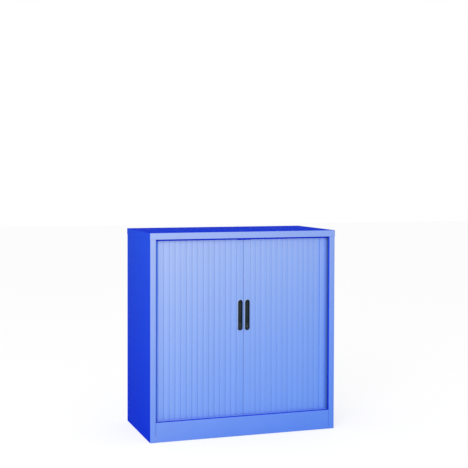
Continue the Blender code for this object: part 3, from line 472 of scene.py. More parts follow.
def place_group(tree, name, build, place, **values):
    """A node group, built the first time it is asked for, placed in a material with its own values."""
    made = tree.nodes.new("ShaderNodeGroup")
    made.node_tree = bpy.data.node_groups.get(name) or build(name)
    made.location = place
    for label, value in values.items():
        made.inputs[label].default_value = value
    return made.outputs


def new_material(name, base, roughness, specular, metallic=0.0):
    """A material with its Principled shader set."""
    material = bpy.data.materials.new(name)
    material.use_nodes = True
    material.diffuse_color = (*base, 1.0)
    shader = material.node_tree.nodes["Principled BSDF"]
    shader.inputs["Base Color"].default_value = (*base, 1.0)
    shader.inputs["Roughness"].default_value = roughness
    shader.inputs["Specular IOR Level"].default_value = specular
    shader.inputs["Metallic"].default_value = metallic
    return material, material.node_tree, shader


def cover(tree, shader, base, mottle, gloss, bump):
    """Give a shader a colour that darkens where a value is low, its roughness and its bump."""
    value, depth = mottle
    tone = spread(tree, (-400, 100), value, (0.25, 0.75), (1 - depth, 1 + depth))
    feed(tree, shader.inputs["Base Color"], blend_colours(tree, (-200, 200), 1.0, base, tone, "MULTIPLY"))
    if gloss:
        feed(tree, shader.inputs["Roughness"], gloss)
    height, strength, distance = bump
    made = add_node(tree, "Bump", (-200, -400))
    for label, value in (("Height", height), ("Strength", strength), ("Distance", distance)):
        feed(tree, made.inputs[label], value)
    feed(tree, shader.inputs["Normal"], made.outputs["Normal"])


def place_tint(tree, colours, part, shape):
    """The front paint or the slats' colour with its painted light and shade, and how it runs."""
    values = {label: (*getattr(colours, part + "_" + label.lower()), 1) for label in SHADES}
    return place_group(tree, "Cabinet tint", build_tint, (-900, 200), **values, **shape)


def shutter_tint(tree, colours, turn_start, turn_end, turn_left=0.0):
    """The shutters' colour with its painted light, which turns to painted shade between two values of facing
    ahead.
    """
    turning = {"Turn Start": turn_start, "Turn End": turn_end, "Turn Left": turn_left}
    return place_tint(tree, colours, "slat", SHUTTER_TINT_AND_LIGHT | turning)


def satin_powder_coat(colours):
    """Powder-coated sheet in deep blue, with a pale painted sheen to the front and painted shade where it
    turns away.
    """
    material, tree, shader = new_material("satin_powder_coat", colours.front_bright, 0.6, 0.01)
    tint_and_light = place_tint(tree, colours, "front", {})
    coat = place_group(tree, "Baked coat", build_coat, (-700, -200))
    gloss = spread(tree, (-500, -100), coat["Mottle"], (0.2, 0.8), (0.74, 0.84))
    sheen = calculate(tree, "MULTIPLY_ADD", (-300, -100), tint_and_light["Front"], -0.26, gloss)
    cover(tree, shader, tint_and_light["Colour"], (coat["Mottle"], 0.02), sheen, (coat["Height"], 0.12, 0.0001))
    return material


def lead_rail_coat(colours):
    """Powder coat of the lead rails, in the slats' colour with its painted light and shade."""
    material, tree, shader = new_material("lead_rail_coat", colours.slat_bright, 0.55, 0.05)
    tint_and_light = shutter_tint(tree, colours, -0.4, 0.4)
    coat = place_group(tree, "Baked coat", build_coat, (-700, -200))
    gloss = spread(tree, (-400, -100), coat["Mottle"], (0.2, 0.8), (0.48, 0.60))
    cover(tree, shader, tint_and_light["Colour"], (coat["Mottle"], 0.02), gloss, (coat["Height"], 0.12, 0.0001))
    return material


def slat_plastic(name, colours, turn_start, turn_end, turn_left=0.0):
    """Satin extruded plastic, in streaks along the slat and a tone of its own for each."""
    material, tree, shader = new_material(name, colours.slat_bright, 0.5, 0.06)
    # The slats' colour with its painted light and shade
    tint_and_light = shutter_tint(tree, colours, turn_start, turn_end, turn_left)
    batch = place_group(tree, "Slat batch", build_batch, (-900, 0))
    streaks = place_group(tree, "Extruded streaks", build_streaks, (-900, -300))
    tone = spread(tree, (-650, 0), batch["Tone"], (0, 1), (0.985, 1.015))
    toned = blend_colours(tree, (-450, 250), 1.0, tint_and_light["Colour"], tone, "MULTIPLY")
    gloss = spread(tree, (-400, -100), streaks["Shade"], (0.2, 0.8), (0.42, 0.54))
    cover(tree, shader, toned, (streaks["Shade"], 0.02), gloss, (streaks["Height"], 0.1, 0.00005))
    return material


def drawn_slat_plastic(colours):
    """The slats along the front, with the front's pale painted light carried down into their grooves, over
    their shade.
    """
    return slat_plastic("drawn_slat_plastic", colours, -0.9, -0.3)


def shaded_curled_slat_plastic(colours):
    """The slats in and next to the curves of the track, in painted shade as soon as they turn away."""
    return slat_plastic("shaded_curled_slat_plastic", colours, 0.84, 0.92, 0.5)


def drawn_track_plastic(colours):
    """Extruded deep blue plastic of the tracks: the lower track's front pale with the front's painted light,
    the top track's front deep as painted shade under the cap.
    """
    material, tree, shader = new_material("drawn_track_plastic", colours.track, 0.5, 0.05)
    tint_and_light = shutter_tint(tree, colours, 0.84, 0.92, 0.5)
    # Painted shade by height: only the lower track's front takes the pale painted light, the top track's
    # front stays deep under the cap
    low = spread(tree, (-700, 0), coordinates(tree)[1]["Z"], (0.3, 0.7), (1, 0))
    pale = calculate(tree, "MULTIPLY", (-600, 100), low, tint_and_light["Front"])
    base = blend_colours(tree, (-500, 200), pale, (*colours.track, 1), tint_and_light["Colour"])
    streaks = place_group(
        tree, "Extruded streaks", build_streaks, (-900, -300), Fineness=900.0, Stretch=1.0
    )
    cover(tree, shader, base, (streaks["Shade"], 0.03), None, (streaks["Height"], 0.1, 0.00005))
    return material


def grained_black_moulding(colours):
    """Finely grained black moulding, paler in the recess as painted light, with a painted highlight on the
    rim's rounding to the upper left.
    """
    material, tree, shader = new_material("grained_black_moulding", colours.moulding, 0.45, 0.15)
    grain = place_group(tree, "Moulded grain", build_grain, (-700, -200))
    rim_light = place_group(tree, "Rubbed rim", build_rub, (-700, 100))
    black, recess, rubbed = ((*tone, 1) for tone in (colours.moulding, colours.recess, colours.rubbed))
    # Paler black down in the recess: painted light over its shade
    inside = blend_colours(tree, (-600, 200), rim_light["Sunk"], black, recess)
    # Painted highlight on the rim's rounding to the upper left
    base = blend_colours(tree, (-500, 100), rim_light["Rubbed"], inside, rubbed)
    gloss = spread(tree, (-400, -100), grain["Polish"], (0.3, 0.7), (0.36, 0.5))
    cover(tree, shader, base, (grain["Polish"], 0.12), gloss, (grain["Height"], 0.25, 0.00008))
    return material


def bloomed_zinc_plate(colours):
    """Dull zinc plate with its cloudy bloom."""
    material, tree, shader = new_material("bloomed_zinc_plate", colours.zinc, 0.42, 0.5, 1.0)
    bloom = place_group(tree, "Zinc bloom", build_bloom, (-700, -200))
    gloss = spread(tree, (-400, -100), bloom["Cloud"], (0.3, 0.7), (0.34, 0.55))
    bump = (bloom["Scratch"], 0.08, 0.00004)
    cover(tree, shader, (*colours.zinc, 1), (bloom["Cloud"], 0.18), gloss, bump)
    return material


def satin_nickel(colours):
    """Dark satin nickel of the lock barrel."""
    material, tree, shader = new_material("satin_nickel", colours.steel, 0.26, 0.5, 1.0)
    bloom = place_group(tree, "Zinc bloom", build_bloom, (-700, -200), Bloom=300.0)
    gloss = spread(tree, (-400, -100), bloom["Scratch"], (0.3, 0.7), (0.2, 0.34))
    bump = (bloom["Scratch"], 0.05, 0.00003)
    cover(tree, shader, (*colours.steel, 1), (bloom["Cloud"], 0.08), gloss, bump)
    return material


def grained_nylon(colours):
    """Moulded nylon of the levelling feet."""
    material, tree, shader = new_material("grained_nylon", colours.nylon, 0.55, 0.4)
    grain = place_group(tree, "Moulded grain", build_grain, (-700, -200), Grain=1500.0)
    bump = (grain["Height"], 0.2, 0.0001)
    cover(tree, shader, (*colours.nylon, 1), (grain["Polish"], 0.15), None, bump)
    return material


FINISHES = {
    "front_paint": satin_powder_coat,
    "carcass_paint": satin_powder_coat,
    "slat_plastic": drawn_slat_plastic,
    "track_plastic": drawn_track_plastic,
    "black_moulding": grained_black_moulding,
    "zinc_plated_steel": bloomed_zinc_plate,
    "bright_steel": satin_nickel,
    "foot_plastic": grained_nylon,
}


def made_once(make):
    """A finish, made the first time it is asked for."""
    return bpy.data.materials.get(make.__name__) or make(bpy.context.scene.cabinet_colours)


def to_piece(bm, name, body, slot, smooth=ROUND, finish=None):
    """Turn a bmesh into a finished piece that rides on a body."""
    mesh = bpy.data.meshes.new(name)
    bm.to_mesh(mesh)
    bm.free()
    mesh.materials.append(made_once(finish or FINISHES[slot]))
    mesh.shade_smooth()
    mesh.set_sharp_from_angle(angle=smooth)
    piece = bpy.data.objects.new(name, mesh)
    bpy.context.scene.collection.objects.link(piece)
    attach(piece, body)
    return piece


def round_edges(piece, radius, segments=2):
    """Round the sharp edges of a piece."""
    bevel = piece.modifiers.new("rounded edges", "BEVEL")
    bevel.width = radius
    bevel.segments = segments
    bevel.limit_method = "ANGLE"
    bevel.angle_limit = ROUND
    bevel.harden_normals = True


def dress(node, radius, segments=2, finish=None):
    """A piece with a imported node's shape, its facets joined and its edges rounded."""
    bm = bmesh.new()
    bm.from_mesh(frame["nodes"][node].data)
    bmesh.ops.remove_doubles(bm, verts=bm.verts, dist=WELD)
    bmesh.ops.dissolve_limit(bm, angle_limit=FLAT, verts=bm.verts, edges=bm.edges)
    piece = to_piece(bm, node + "_edged", BODY_OF[node], SLOT_OF[node], finish=finish)
    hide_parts(node)
    round_edges(piece, radius, segments)


def push(bm, face, vector):
    """Push a face in or pull it out, with walls behind it."""
    made = bmesh.ops.extrude_face_region(bm, geom=[face])["geom"]
    bmesh.ops.delete(bm, geom=[face], context="FACES_ONLY")
    moved = [item for item in made if isinstance(item, bmesh.types.BMVert)]
    bmesh.ops.translate(bm, vec=vector, verts=moved)


def bevel_edges(bm, edges, radius, segments):
    """Round some edges of a mesh."""
    bmesh.ops.bevel(
        bm,
        geom=list(edges),
        offset=radius,
        offset_type="OFFSET",
        segments=segments,
        profile=0.5,
        affect="EDGES",
        material=-1,
    )


def lathe(bm, profile, place, axis, steps):
    """Spin a profile of (radius, height) points, closed on its axis, and stand it along an axis."""
    before = set(bm.verts)
    points = [bm.verts.new((radius, 0, height)) for radius, height in profile]
    edges = [bm.edges.new(pair) for pair in zip(points, points[1:])]
    bmesh.ops.spin(
        bm,
        geom=points + edges,
        cent=(0, 0, 0),
        axis=(0, 0, 1),
        angle=math.tau,
        steps=steps,
        use_merge=True,
    )
    verts = [vert for vert in bm.verts if vert not in before]
    turn = Vector((0, 0, 1)).rotation_difference(Vector(axis)).to_matrix()
    bmesh.ops.rotate(bm, cent=(0, 0, 0), matrix=turn, verts=verts)
    bmesh.ops.translate(bm, vec=place, verts=verts)


def ring(bm, centre, radius, depth, steps):
    """A circle of edges that faces the front."""
    place = Matrix.Translation((centre[0], depth, centre[1])) @ Matrix.Rotation(math.pi / 2, 4, "X")
    made = bmesh.ops.create_circle(bm, cap_ends=False, segments=steps, radius=radius, matrix=place)
    return list({edge for vert in made["verts"] for edge in vert.link_edges})


def oblong(bm, centre, width, height, depth, steps):
    """A flat face with round ends that faces the front."""
    turn = Matrix.Rotation(math.pi / steps, 4, "Z")
    place = Matrix.Translation((centre[0], depth, centre[1])) @ Matrix.Rotation(math.pi / 2, 4, "X")
    radius = width / 2 / math.cos(math.pi / steps)
    made = bmesh.ops.create_circle(bm, cap_ends=True, segments=steps, radius=radius, matrix=place @ turn)
    for side in (-1, 1):
        half = [vert for vert in made["verts"] if (vert.co.z - centre[1]) * side > 0]
        bmesh.ops.translate(bm, vec=(0, 0, side * (height - width) / 2), verts=half)
    return made["verts"][0].link_faces[0]


def draw_out(bm, edges, vector):
    """Draw a run of edges out into a wall, and return the edges at its far end."""
    made = bmesh.ops.extrude_edge_only(bm, edges=edges)["geom"]
    moved = [item for item in made if isinstance(item, bmesh.types.BMVert)]
    bmesh.ops.translate(bm, vec=vector, verts=moved)
    ends = set(moved)
    return [item for item in made if isinstance(item, bmesh.types.BMEdge) and set(item.verts) <= ends]


def loop_at(bm, depth):
    """Edges that lie at a depth."""
    return [edge for edge in bm.edges if all(abs(vert.co.y - depth) < WELD for vert in edge.verts)]


def cut_level(bm, height, face):
    """Cut one upright face across at a height."""
    geometry = [face, *face.edges, *face.verts]
    bmesh.ops.bisect_plane(bm, geom=geometry, dist=WELD / 10, plane_co=(0, 0, height), plane_no=(0, 0, 1))


def face_at(bm, depth, low, high):
    """The flat face to the front or back at a depth, whose middle lies between two heights."""
    found = [
        face
        for face in bm.faces
        if all(abs(vert.co.y - depth) < WELD for vert in face.verts)
        and low < (min(v.co.z for v in face.verts) + max(v.co.z for v in face.verts)) / 2 < high
    ]
    return max(found, key=lambda face: face.calc_area())


class CABINET_OT_make_cap(bpy.types.Operator):
    """Fold the cap from one sheet, with a return along the foot of its front"""

    bl_idname = "cabinet.make_cap"
    bl_label = "Cap"

    def execute(self, context):
        sizes = context.scene.cabinet_sizes
        bm = bmesh.new()
        made = bmesh.ops.create_cube(bm, size=1)["verts"]
        bmesh.ops.scale(bm, vec=CAP_HIGH - CAP_LOW, verts=made)
        bmesh.ops.translate(bm, vec=(CAP_LOW + CAP_HIGH) / 2, verts=made)
        foot = min(bm.faces, key=lambda face: face.calc_center_median().z)
        bmesh.ops.delete(bm, geom=[foot], context="FACES_ONLY")
        folds = [edge for edge in bm.edges if len(edge.link_faces) == 2]
        bevel_edges(bm, folds, sizes.cap_fold, 5)
        for side in (-1, 1):
            every = bm.verts[:] + bm.edges[:] + bm.faces[:]
            bmesh.ops.bisect_plane(
                bm, geom=every, dist=WELD, plane_co=(side * PANEL_LOW.x, 0, 0), plane_no=(side, 0, 0)
            )
        face_y, side_x = CAP_LOW.y + WELD, PANEL_LOW.x + WELD
        front = [
            edge
            for edge in bm.edges
            if len(edge.link_faces) == 1
            and all(vert.co.y < face_y and abs(vert.co.x) < side_x for vert in edge.verts)
        ]
        draw_out(bm, front, (0, sizes.cap_return, 0))
        fold = [edge for edge in front if edge.is_valid and len(edge.link_faces) == 2]
        bevel_edges(bm, fold, sizes.cap_sheet, 3)
        bmesh.ops.recalc_face_normals(bm, faces=bm.faces)
        if max(bm.faces, key=lambda face: face.calc_area()).normal.z < 0:
            bmesh.ops.reverse_faces(bm, faces=bm.faces)
        cap = to_piece(bm, "cap_shell", BODY_OF["top_cap"], SLOT_OF["top_cap"])
        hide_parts("top_cap")
        wall = cap.modifiers.new("sheet", "SOLIDIFY")
        wall.thickness = sizes.cap_sheet
        wall.offset = -1.0
        wall.use_even_offset = True
        round_edges(cap, sizes.sheet_edge)
        return {"FINISHED"}


class CABINET_OT_make_panels(bpy.types.Operator):
    """Edge the folded panels and the plinth"""

    bl_idname = "cabinet.make_panels"
    bl_label = "Panels and plinth"

    def execute(self, context):
        sizes = context.scene.cabinet_sizes
        for node in ("left_side_panel", "right_side_panel", "back_panel", "top_panel", "floor_panel"):
            dress(node, sizes.sheet_edge)
        dress("plinth", sizes.sheet_edge)
        return {"FINISHED"}


class CABINET_OT_make_base(bpy.types.Operator):
    """Edge the base rails and turn the levelling feet with their threads"""

    bl_idname = "cabinet.make_base"
    bl_label = "Base rails and feet"

    def execute(self, context):
        sizes = context.scene.cabinet_sizes
        for side, _ in SIDES:
            dress(side + "_base_rail", sizes.sheet_edge)
            for end in ("front", "rear"):
                make_foot(end + "_" + side + "_levelling_foot", sizes)
        return {"FINISHED"}


def make_foot(node, sizes):
    """A moulded pad on a threaded stem."""
    low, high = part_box(node)
    middle = Vector(((low.x + high.x) / 2, (low.y + high.y) / 2, low.z))
    pad = (high.x - low.x) / 2
    stem = sizes.stem_radius
    root = stem - sizes.thread_pitch / 2
    top = high.z - low.z
    profile = [
        (0.0, 0.0),
        (pad - 0.0015, 0.0),
        (pad - 0.0004, 0.0004),
        (pad, 0.0015),
        (pad, 0.0038),
        (pad - 0.0003, 0.0046),
        (pad - 0.0012, 0.0052),
        (pad * 0.58, 0.0062),
        (pad * 0.52, 0.0070),
        (pad * 0.48, 0.0104),
        (pad * 0.45, 0.0110),
        (root, 0.0110),
        (root, sizes.thread_end),
        (stem, sizes.thread_end + 0.0006),
        (stem, top - 0.0008),
        (stem - 0.0008, top),
        (0.0, top),
    ]
    bm = bmesh.new()
    lathe(bm, profile, middle, (0, 0, 1), FOOT_STEPS)
    turns = int((sizes.thread_end - sizes.thread_start) / sizes.thread_pitch)
    wind_thread(bm, middle + Vector((0, 0, sizes.thread_start)), root, stem, sizes.thread_pitch, turns)
    bmesh.ops.recalc_face_normals(bm, faces=bm.faces)
    foot = to_piece(bm, node + "_turned", BODY_OF[node], SLOT_OF[node], FOOT_ROUND)
    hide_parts(node)


def wind_thread(bm, start, root, crest, pitch, turns):
    """A thread's ridge, wound up a stem."""
    steps = 24
    foot = root - (crest - root) / 2
    section = ((foot, -0.40), (crest, -0.06), (crest, 0.06), (foot, 0.40))
    points = [bm.verts.new((start.x + out, start.y, start.z + pitch * up)) for out, up in section]
    edges = [bm.edges.new((points[index - 1], points[index])) for index in range(len(points))]
    bm.faces.new(points)
    made = bmesh.ops.spin(
        bm,
        geom=edges + points,
        cent=start,
        axis=(0, 0, 1),
        dvec=(0, 0, pitch / steps),
        angle=math.tau * turns,
        steps=steps * turns,
    )
    last = [item for item in made["geom_last"] if isinstance(item, bmesh.types.BMEdge)]
    bmesh.ops.holes_fill(bm, edges=last, sides=len(points))


class CABINET_OT_make_tracks(bpy.types.Operator):
    """Edge the curved tracks that the shutters run in"""

    bl_idname = "cabinet.make_tracks"
    bl_label = "Tracks"

    def execute(self, context):
        sizes = context.scene.cabinet_sizes
        for node in ("bottom_track", "top_track"):
            dress(node, sizes.sheet_edge)
        return {"FINISHED"}


class CABINET_OT_make_inside(bpy.types.Operator):
    """Edge the slotted liners and the shelves"""

    bl_idname = "cabinet.make_inside"
    bl_label = "Liners and shelves"

    def execute(self, context):
        sizes = context.scene.cabinet_sizes
        for node in ("left_liner", "right_liner", "lower_shelf", "upper_shelf"):
            dress(node, sizes.sheet_edge)
        return {"FINISHED"}


class CABINET_OT_make_slats(bpy.types.Operator):
    """Edge the hooked slats of both shutters"""

    bl_idname = "cabinet.make_slats"
    bl_label = "Slats"

    def execute(self, context):
        sizes = context.scene.cabinet_sizes
        for node in sorted(frame["nodes"]):
            if "_slat_" in node:
                # Slats 14 and 15, in the curves beside the jambs, take painted shade
                curled = node.endswith(("_14", "_15"))
                finish = shaded_curled_slat_plastic if curled else drawn_slat_plastic
                dress(node, sizes.moulding_edge, finish=finish)
        return {"FINISHED"}


class CABINET_OT_make_lead_rails(bpy.types.Operator):
    """Edge the lead rails and the guide shoes in their ends"""

    bl_idname = "cabinet.make_lead_rails"
    bl_label = "Lead rails and shoes"

    def execute(self, context):
        sizes = context.scene.cabinet_sizes
        for side, _ in SIDES:
            dress(side + "_lead_rail", sizes.sheet_edge, finish=lead_rail_coat)
            for end in ("bottom", "top"):
                dress(side + "_" + end + "_guide_shoe", sizes.moulding_edge, 3)
        return {"FINISHED"}


class CABINET_OT_make_handles(bpy.types.Operator):
    """Mould the flush handles: a finger recess over a lock seat, parted by a bar"""

    bl_idname = "cabinet.make_handles"
    bl_label = "Handles"

    def execute(self, context):
        for side, sign in SIDES:
            make_handle(side, sign, context.scene.cabinet_sizes)
        return {"FINISHED"}


def make_handle(side, sign, sizes):
    """One flush handle, open for the lock on the right."""
    node = side + "_handle"
    low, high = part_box(node)
    centre = ((low.x + high.x) / 2, (low.z + high.z) / 2)
    face = LEAD_LOW.y
    bar_low = low.z + sizes.bar_above_end - sizes.bar_width / 2
    bar_high = bar_low + sizes.bar_width
    floor = face + sizes.recess_depth
    seat = face + sizes.seat_depth
    lock = ((low.x + high.x) / 2, (BARREL_LOW.z + BARREL_HIGH.z) / 2)
    hole = (BARREL_HIGH.x - BARREL_LOW.x) / 2 + BORE_PLAY

    bm = bmesh.new()
    back = oblong(bm, centre, high.x - low.x, high.z - low.z, face, HANDLE_STEPS)
    front = bmesh.ops.extrude_face_region(bm, geom=[back])["geom"]
    moved = [item for item in front if isinstance(item, bmesh.types.BMVert)]
    bmesh.ops.translate(bm, vec=(0, low.y - face, 0), verts=moved)
    bevel_edges(bm, loop_at(bm, low.y), sizes.handle_round, 5)
    outside = face_at(bm, low.y, low.z, high.z)
    rim_width = sizes.handle_rim - sizes.handle_round
    bmesh.ops.inset_region(bm, faces=[outside], thickness=rim_width, use_even_offset=True)
    cut_level(bm, bar_low, face_at(bm, low.y, low.z, high.z))
    cut_level(bm, bar_high, face_at(bm, low.y, bar_low, high.z))
    push(bm, face_at(bm, low.y, bar_high, high.z), (0, floor - low.y, 0))
    push(bm, face_at(bm, low.y, low.z, bar_low), (0, seat - low.y, 0))
    bevel_edges(bm, loop_at(bm, floor), sizes.handle_floor, 4)
    bevel_edges(bm, loop_at(bm, seat), sizes.handle_mouth, 3)

    behind = face_at(bm, face, low.z, high.z)
    bmesh.ops.inset_region(bm, faces=[behind], thickness=sizes.pocket_inset, use_even_offset=True)
    cut_level(bm, bar_low, face_at(bm, face, low.z, high.z))
    push(bm, face_at(bm, face, bar_low, high.z), (0, sizes.pocket_depth, 0))
    push(bm, face_at(bm, face, low.z, bar_low), (0, seat - face + sizes.pocket_wall, 0))
    bevel_edges(bm, loop_at(bm, face + sizes.pocket_depth), sizes.handle_mouth, 3)

    boss_back = face + sizes.boss_depth
    pad = face_at(bm, seat + sizes.pocket_wall, low.z, bar_low)
    rim = list(pad.edges)
    bmesh.ops.delete(bm, geom=[pad], context="FACES_ONLY")
    start = ring(bm, lock, sizes.boss_radius, seat + sizes.pocket_wall, BORE_STEPS)
    bmesh.ops.triangle_fill(bm, use_beauty=True, edges=rim + start, normal=(0, 1, 0))
    end = draw_out(bm, start, (0, boss_back - seat - sizes.pocket_wall, 0))
    if sign > 0:
        seat_face = face_at(bm, seat, low.z, bar_low)
        rim = list(seat_face.edges)
        bmesh.ops.delete(bm, geom=[seat_face], context="FACES_ONLY")
        bore = ring(bm, lock, hole, seat, BORE_STEPS)
        bmesh.ops.triangle_fill(bm, use_beauty=True, edges=rim + bore, normal=(0, -1, 0))
        bore_end = draw_out(bm, bore, (0, boss_back - seat, 0))
        bmesh.ops.bridge_loops(bm, edges=end + bore_end)
    else:
        bmesh.ops.holes_fill(bm, edges=end, sides=len(end))
    bmesh.ops.remove_doubles(bm, verts=bm.verts, dist=WELD / 10)
    bmesh.ops.recalc_face_normals(bm, faces=bm.faces)
    handle = to_piece(bm, node + "_moulded", BODY_OF[node], SLOT_OF[node], HANDLE_ROUND)
    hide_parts(node)
    round_edges(handle, sizes.handle_mouth, 3)


class CABINET_OT_make_lock(bpy.types.Operator):
    """Edge the lock barrel, the cam and the keeper"""

    bl_idname = "cabinet.make_lock"
    bl_label = "Lock"

    def execute(self, context):
        sizes = context.scene.cabinet_sizes
        for node in ("lock_cam", "lock_keeper", "lock_barrel"):
            dress(node, sizes.sheet_edge)
        return {"FINISHED"}


class CABINET_OT_make_fasteners(bpy.types.Operator):
    """Set the rivets of the back and the painted screws at the ends of the plinth"""

    bl_idname = "cabinet.make_fasteners"
    bl_label = "Rivets and screws"

    def execute(self, context):
        sizes = context.scene.cabinet_sizes
        for side, sign in SIDES:
            rivets = bmesh.new()
            across = sign * (PANEL_HIGH.x - sizes.rivet_from_edge)
            step = (BACK_HIGH.z - 2 * sizes.rivet_from_end) / (sizes.rivet_count - 1)
            for index in range(sizes.rivet_count):
                height = sizes.rivet_from_end + index * step
                set_rivet(rivets, (across, PANEL_HIGH.y - SHEET_GAP, height), (0, 1, 0), sizes)
            body = BODY_OF["back_panel"]
            to_piece(rivets, side + "_back_rivets", body, "zinc_plated_steel", HEAD_ROUND)
            screw = bmesh.new()
            across = sign * (PLINTH_HIGH.x - sizes.plinth_screw_inset)
            place = (across, PLINTH_LOW.y, sizes.plinth_screw_height)
            set_screw(screw, place, (0, -1, 0), sizes)
            to_piece(screw, side + "_plinth_screw", BODY_OF["plinth"], "front_paint", HEAD_ROUND)
        return {"FINISHED"}


def set_rivet(bm, place, axis, sizes):
    """A blind rivet's domed head, with the mark of its mandrel."""
    radius = sizes.rivet_radius
    height = sizes.rivet_height
    hollow = radius * 0.30
    profile = [
        (0.0, -RIVET_SINK),
        (radius * 0.96, -RIVET_SINK),
        (radius, 0.0),
        (radius * 0.97, height * 0.35),
        (radius * 0.82, height * 0.72),
        (radius * 0.58, height * 0.95),
        (hollow * 1.3, height),
        (hollow, height * 0.9),
        (hollow, height * 0.25),
        (0.0, height * 0.25),
    ]
    lathe(bm, profile, place, axis, 20)
    bmesh.ops.recalc_face_normals(bm, faces=bm.faces)


def set_screw(bm, place, axis, sizes):
    """A small pan head with a round socket."""
    radius = sizes.screw_radius
    height = sizes.screw_head
    profile = [
        (0.0, -SCREW_SINK),
        (radius, -SCREW_SINK),
        (radius, height * 0.35),
        (radius * 0.92, height * 0.75),
        (radius * 0.75, height),
        (radius * 0.46, height),
        (radius * 0.42, height * 0.2),
        (0.0, height * 0.2),
    ]
    lathe(bm, profile, place, axis, 24)
    bmesh.ops.recalc_face_normals(bm, faces=bm.faces)


class CABINET_OT_make_studio(bpy.types.Operator):
    """Set the floor, the sky, the key lamp and the camera"""

    bl_idname = "cabinet.make_studio"
    bl_label = "Studio"

    def execute(self, context):
        scene = context.scene
        studio = scene.cabinet_studio
        scene.view_settings.view_transform = "Standard"
        bm = bmesh.new()
        half = studio.floor_size / 2
        bmesh.ops.create_grid(bm, x_segments=1, y_segments=1, size=half)
        mesh = bpy.data.meshes.new("studio_floor")
        bm.to_mesh(mesh)
        bm.free()
        mesh.materials.append(floor_finish(scene.cabinet_colours.floor, studio.floor_glow))
        ground = bpy.data.objects.new("studio_floor", mesh)
        scene.collection.objects.link(ground)
        set_sky(scene, studio.ambient)
        lamp = bpy.data.lights.new("key_lamp", "AREA")
        lamp.energy = studio.key_power
        lamp.size = studio.key_size
        key = bpy.data.objects.new("key_lamp", lamp)
        key.location = studio.key_place
        aim = (CAP_LOW + CAP_HIGH) / 2 - Vector((0, 0, CAP_HIGH.z / 2)) - key.location
        key.rotation_euler = aim.to_track_quat("-Z", "Y").to_euler()
        scene.collection.objects.link(key)
        view = bpy.data.cameras.new("camera")
        view.lens = studio.camera_lens
        view.shift_x, view.shift_y = studio.camera_shift
        camera = bpy.data.objects.new("camera", view)
        yaw, pitch, roll = studio.camera_turn
        turn = Matrix.Rotation(-yaw, 3, "Z") @ Matrix.Rotation(math.pi / 2 - pitch, 3, "X")
        camera.rotation_euler = (turn @ Matrix.Rotation(roll, 3, "Z")).to_euler()
        camera.location = studio.camera_place
        scene.collection.objects.link(camera)
        scene.camera = camera
        return {"FINISHED"}


def seen_directly(tree, place):
    """One for rays from the camera and from gloss or glass, zero for light on the object."""
    path = add_node(tree, "LightPath", place)
    seen = path.outputs["Is Camera Ray"]
    for step, ray in enumerate(("Is Glossy Ray", "Is Transmission Ray"), 1):
        seen = calculate(tree, "MAXIMUM", (place[0] + 200 * step, place[1]), seen, path.outputs[ray])
    return seen


def floor_finish(tone, glow):
    """Pale floor: its own white where it is seen, and the object's shadow on it."""
    material, tree, shader = new_material("studio_floor", tone, 0.9, 0.2)
    white = add_node(tree, "Emission", (0, -400))
    white.inputs["Strength"].default_value = FLOOR_WHITE
    lit = add_node(tree, "MixShader", (300, 0))
    own = calculate(tree, "MULTIPLY", (100, 300), seen_directly(tree, (-600, 300)), glow)
    tree.links.new(own, lit.inputs["Fac"])
    tree.links.new(shader.outputs[0], lit.inputs[1])
    tree.links.new(white.outputs[0], lit.inputs[2])
    tree.links.new(lit.outputs[0], tree.nodes["Material Output"].inputs["Surface"])
    return material


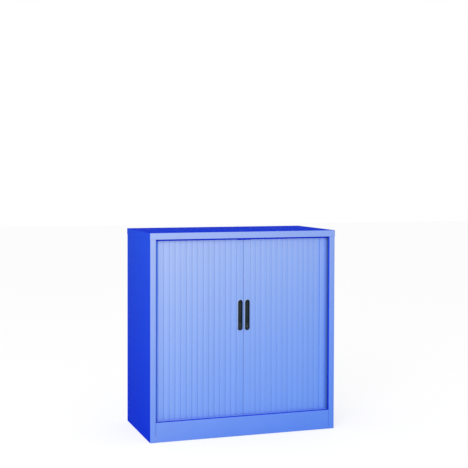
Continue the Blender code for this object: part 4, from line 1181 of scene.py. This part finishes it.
def set_sky(scene, strength):
    """White where it is seen, and a plain soft light on the object."""
    world = bpy.data.worlds.new("studio_sky")
    world.use_nodes = True
    scene.world = world
    tree = world.node_tree
    soft = tree.nodes["Background"]
    soft.inputs["Color"].default_value = (1, 1, 1, 1)
    soft.inputs["Strength"].default_value = strength
    white = add_node(tree, "Background", (0, -200))
    white.inputs["Color"].default_value = (1, 1, 1, 1)
    mix = add_node(tree, "MixShader", (300, 0))
    tree.links.new(seen_directly(tree, (-600, 300)), mix.inputs["Fac"])
    tree.links.new(soft.outputs[0], mix.inputs[1])
    tree.links.new(white.outputs[0], mix.inputs[2])
    tree.links.new(mix.outputs[0], tree.nodes["World Output"].inputs["Surface"])


STEPS = (
    CABINET_OT_make_studio,
    CABINET_OT_make_cap,
    CABINET_OT_make_panels,
    CABINET_OT_make_base,
    CABINET_OT_make_tracks,
    CABINET_OT_make_inside,
    CABINET_OT_make_slats,
    CABINET_OT_make_lead_rails,
    CABINET_OT_make_handles,
    CABINET_OT_make_lock,
    CABINET_OT_make_fasteners,
)


class CABINET_PT_panel(bpy.types.Panel):
    """Sizes, colours and steps of the cabinet"""

    bl_idname = "CABINET_PT_panel"
    bl_label = "Tambour Cabinet"
    bl_space_type = "VIEW_3D"
    bl_region_type = "UI"
    bl_category = "Cabinet"

    def draw(self, context):
        layout = self.layout
        for step in STEPS:
            layout.operator(step.bl_idname, text=step.bl_label)
        for title, group in (
            ("Sizes", context.scene.cabinet_sizes),
            ("Colours", context.scene.cabinet_colours),
            ("Studio", context.scene.cabinet_studio),
        ):
            box = layout.box()
            box.label(text=title)
            for name in group.__annotations__:
                box.prop(group, name)


CLASSES = (CabinetSizes, CabinetColours, StudioSettings, *STEPS, CABINET_PT_panel)


def register():
    """Add the settings, steps and panel to Blender."""
    for item in CLASSES:
        bpy.utils.register_class(item)
    bpy.types.Scene.cabinet_sizes = PointerProperty(type=CabinetSizes)
    bpy.types.Scene.cabinet_colours = PointerProperty(type=CabinetColours)
    bpy.types.Scene.cabinet_studio = PointerProperty(type=StudioSettings)


def unregister():
    """Take them out again."""
    del bpy.types.Scene.cabinet_studio
    del bpy.types.Scene.cabinet_colours
    del bpy.types.Scene.cabinet_sizes
    for item in reversed(CLASSES):
        bpy.utils.unregister_class(item)


def main():
    """Run every step in order."""
    register()
    for step in STEPS:
        group, name = step.bl_idname.split(".")
        getattr(getattr(bpy.ops, group), name)()


if __name__ == "__main__":
    main()
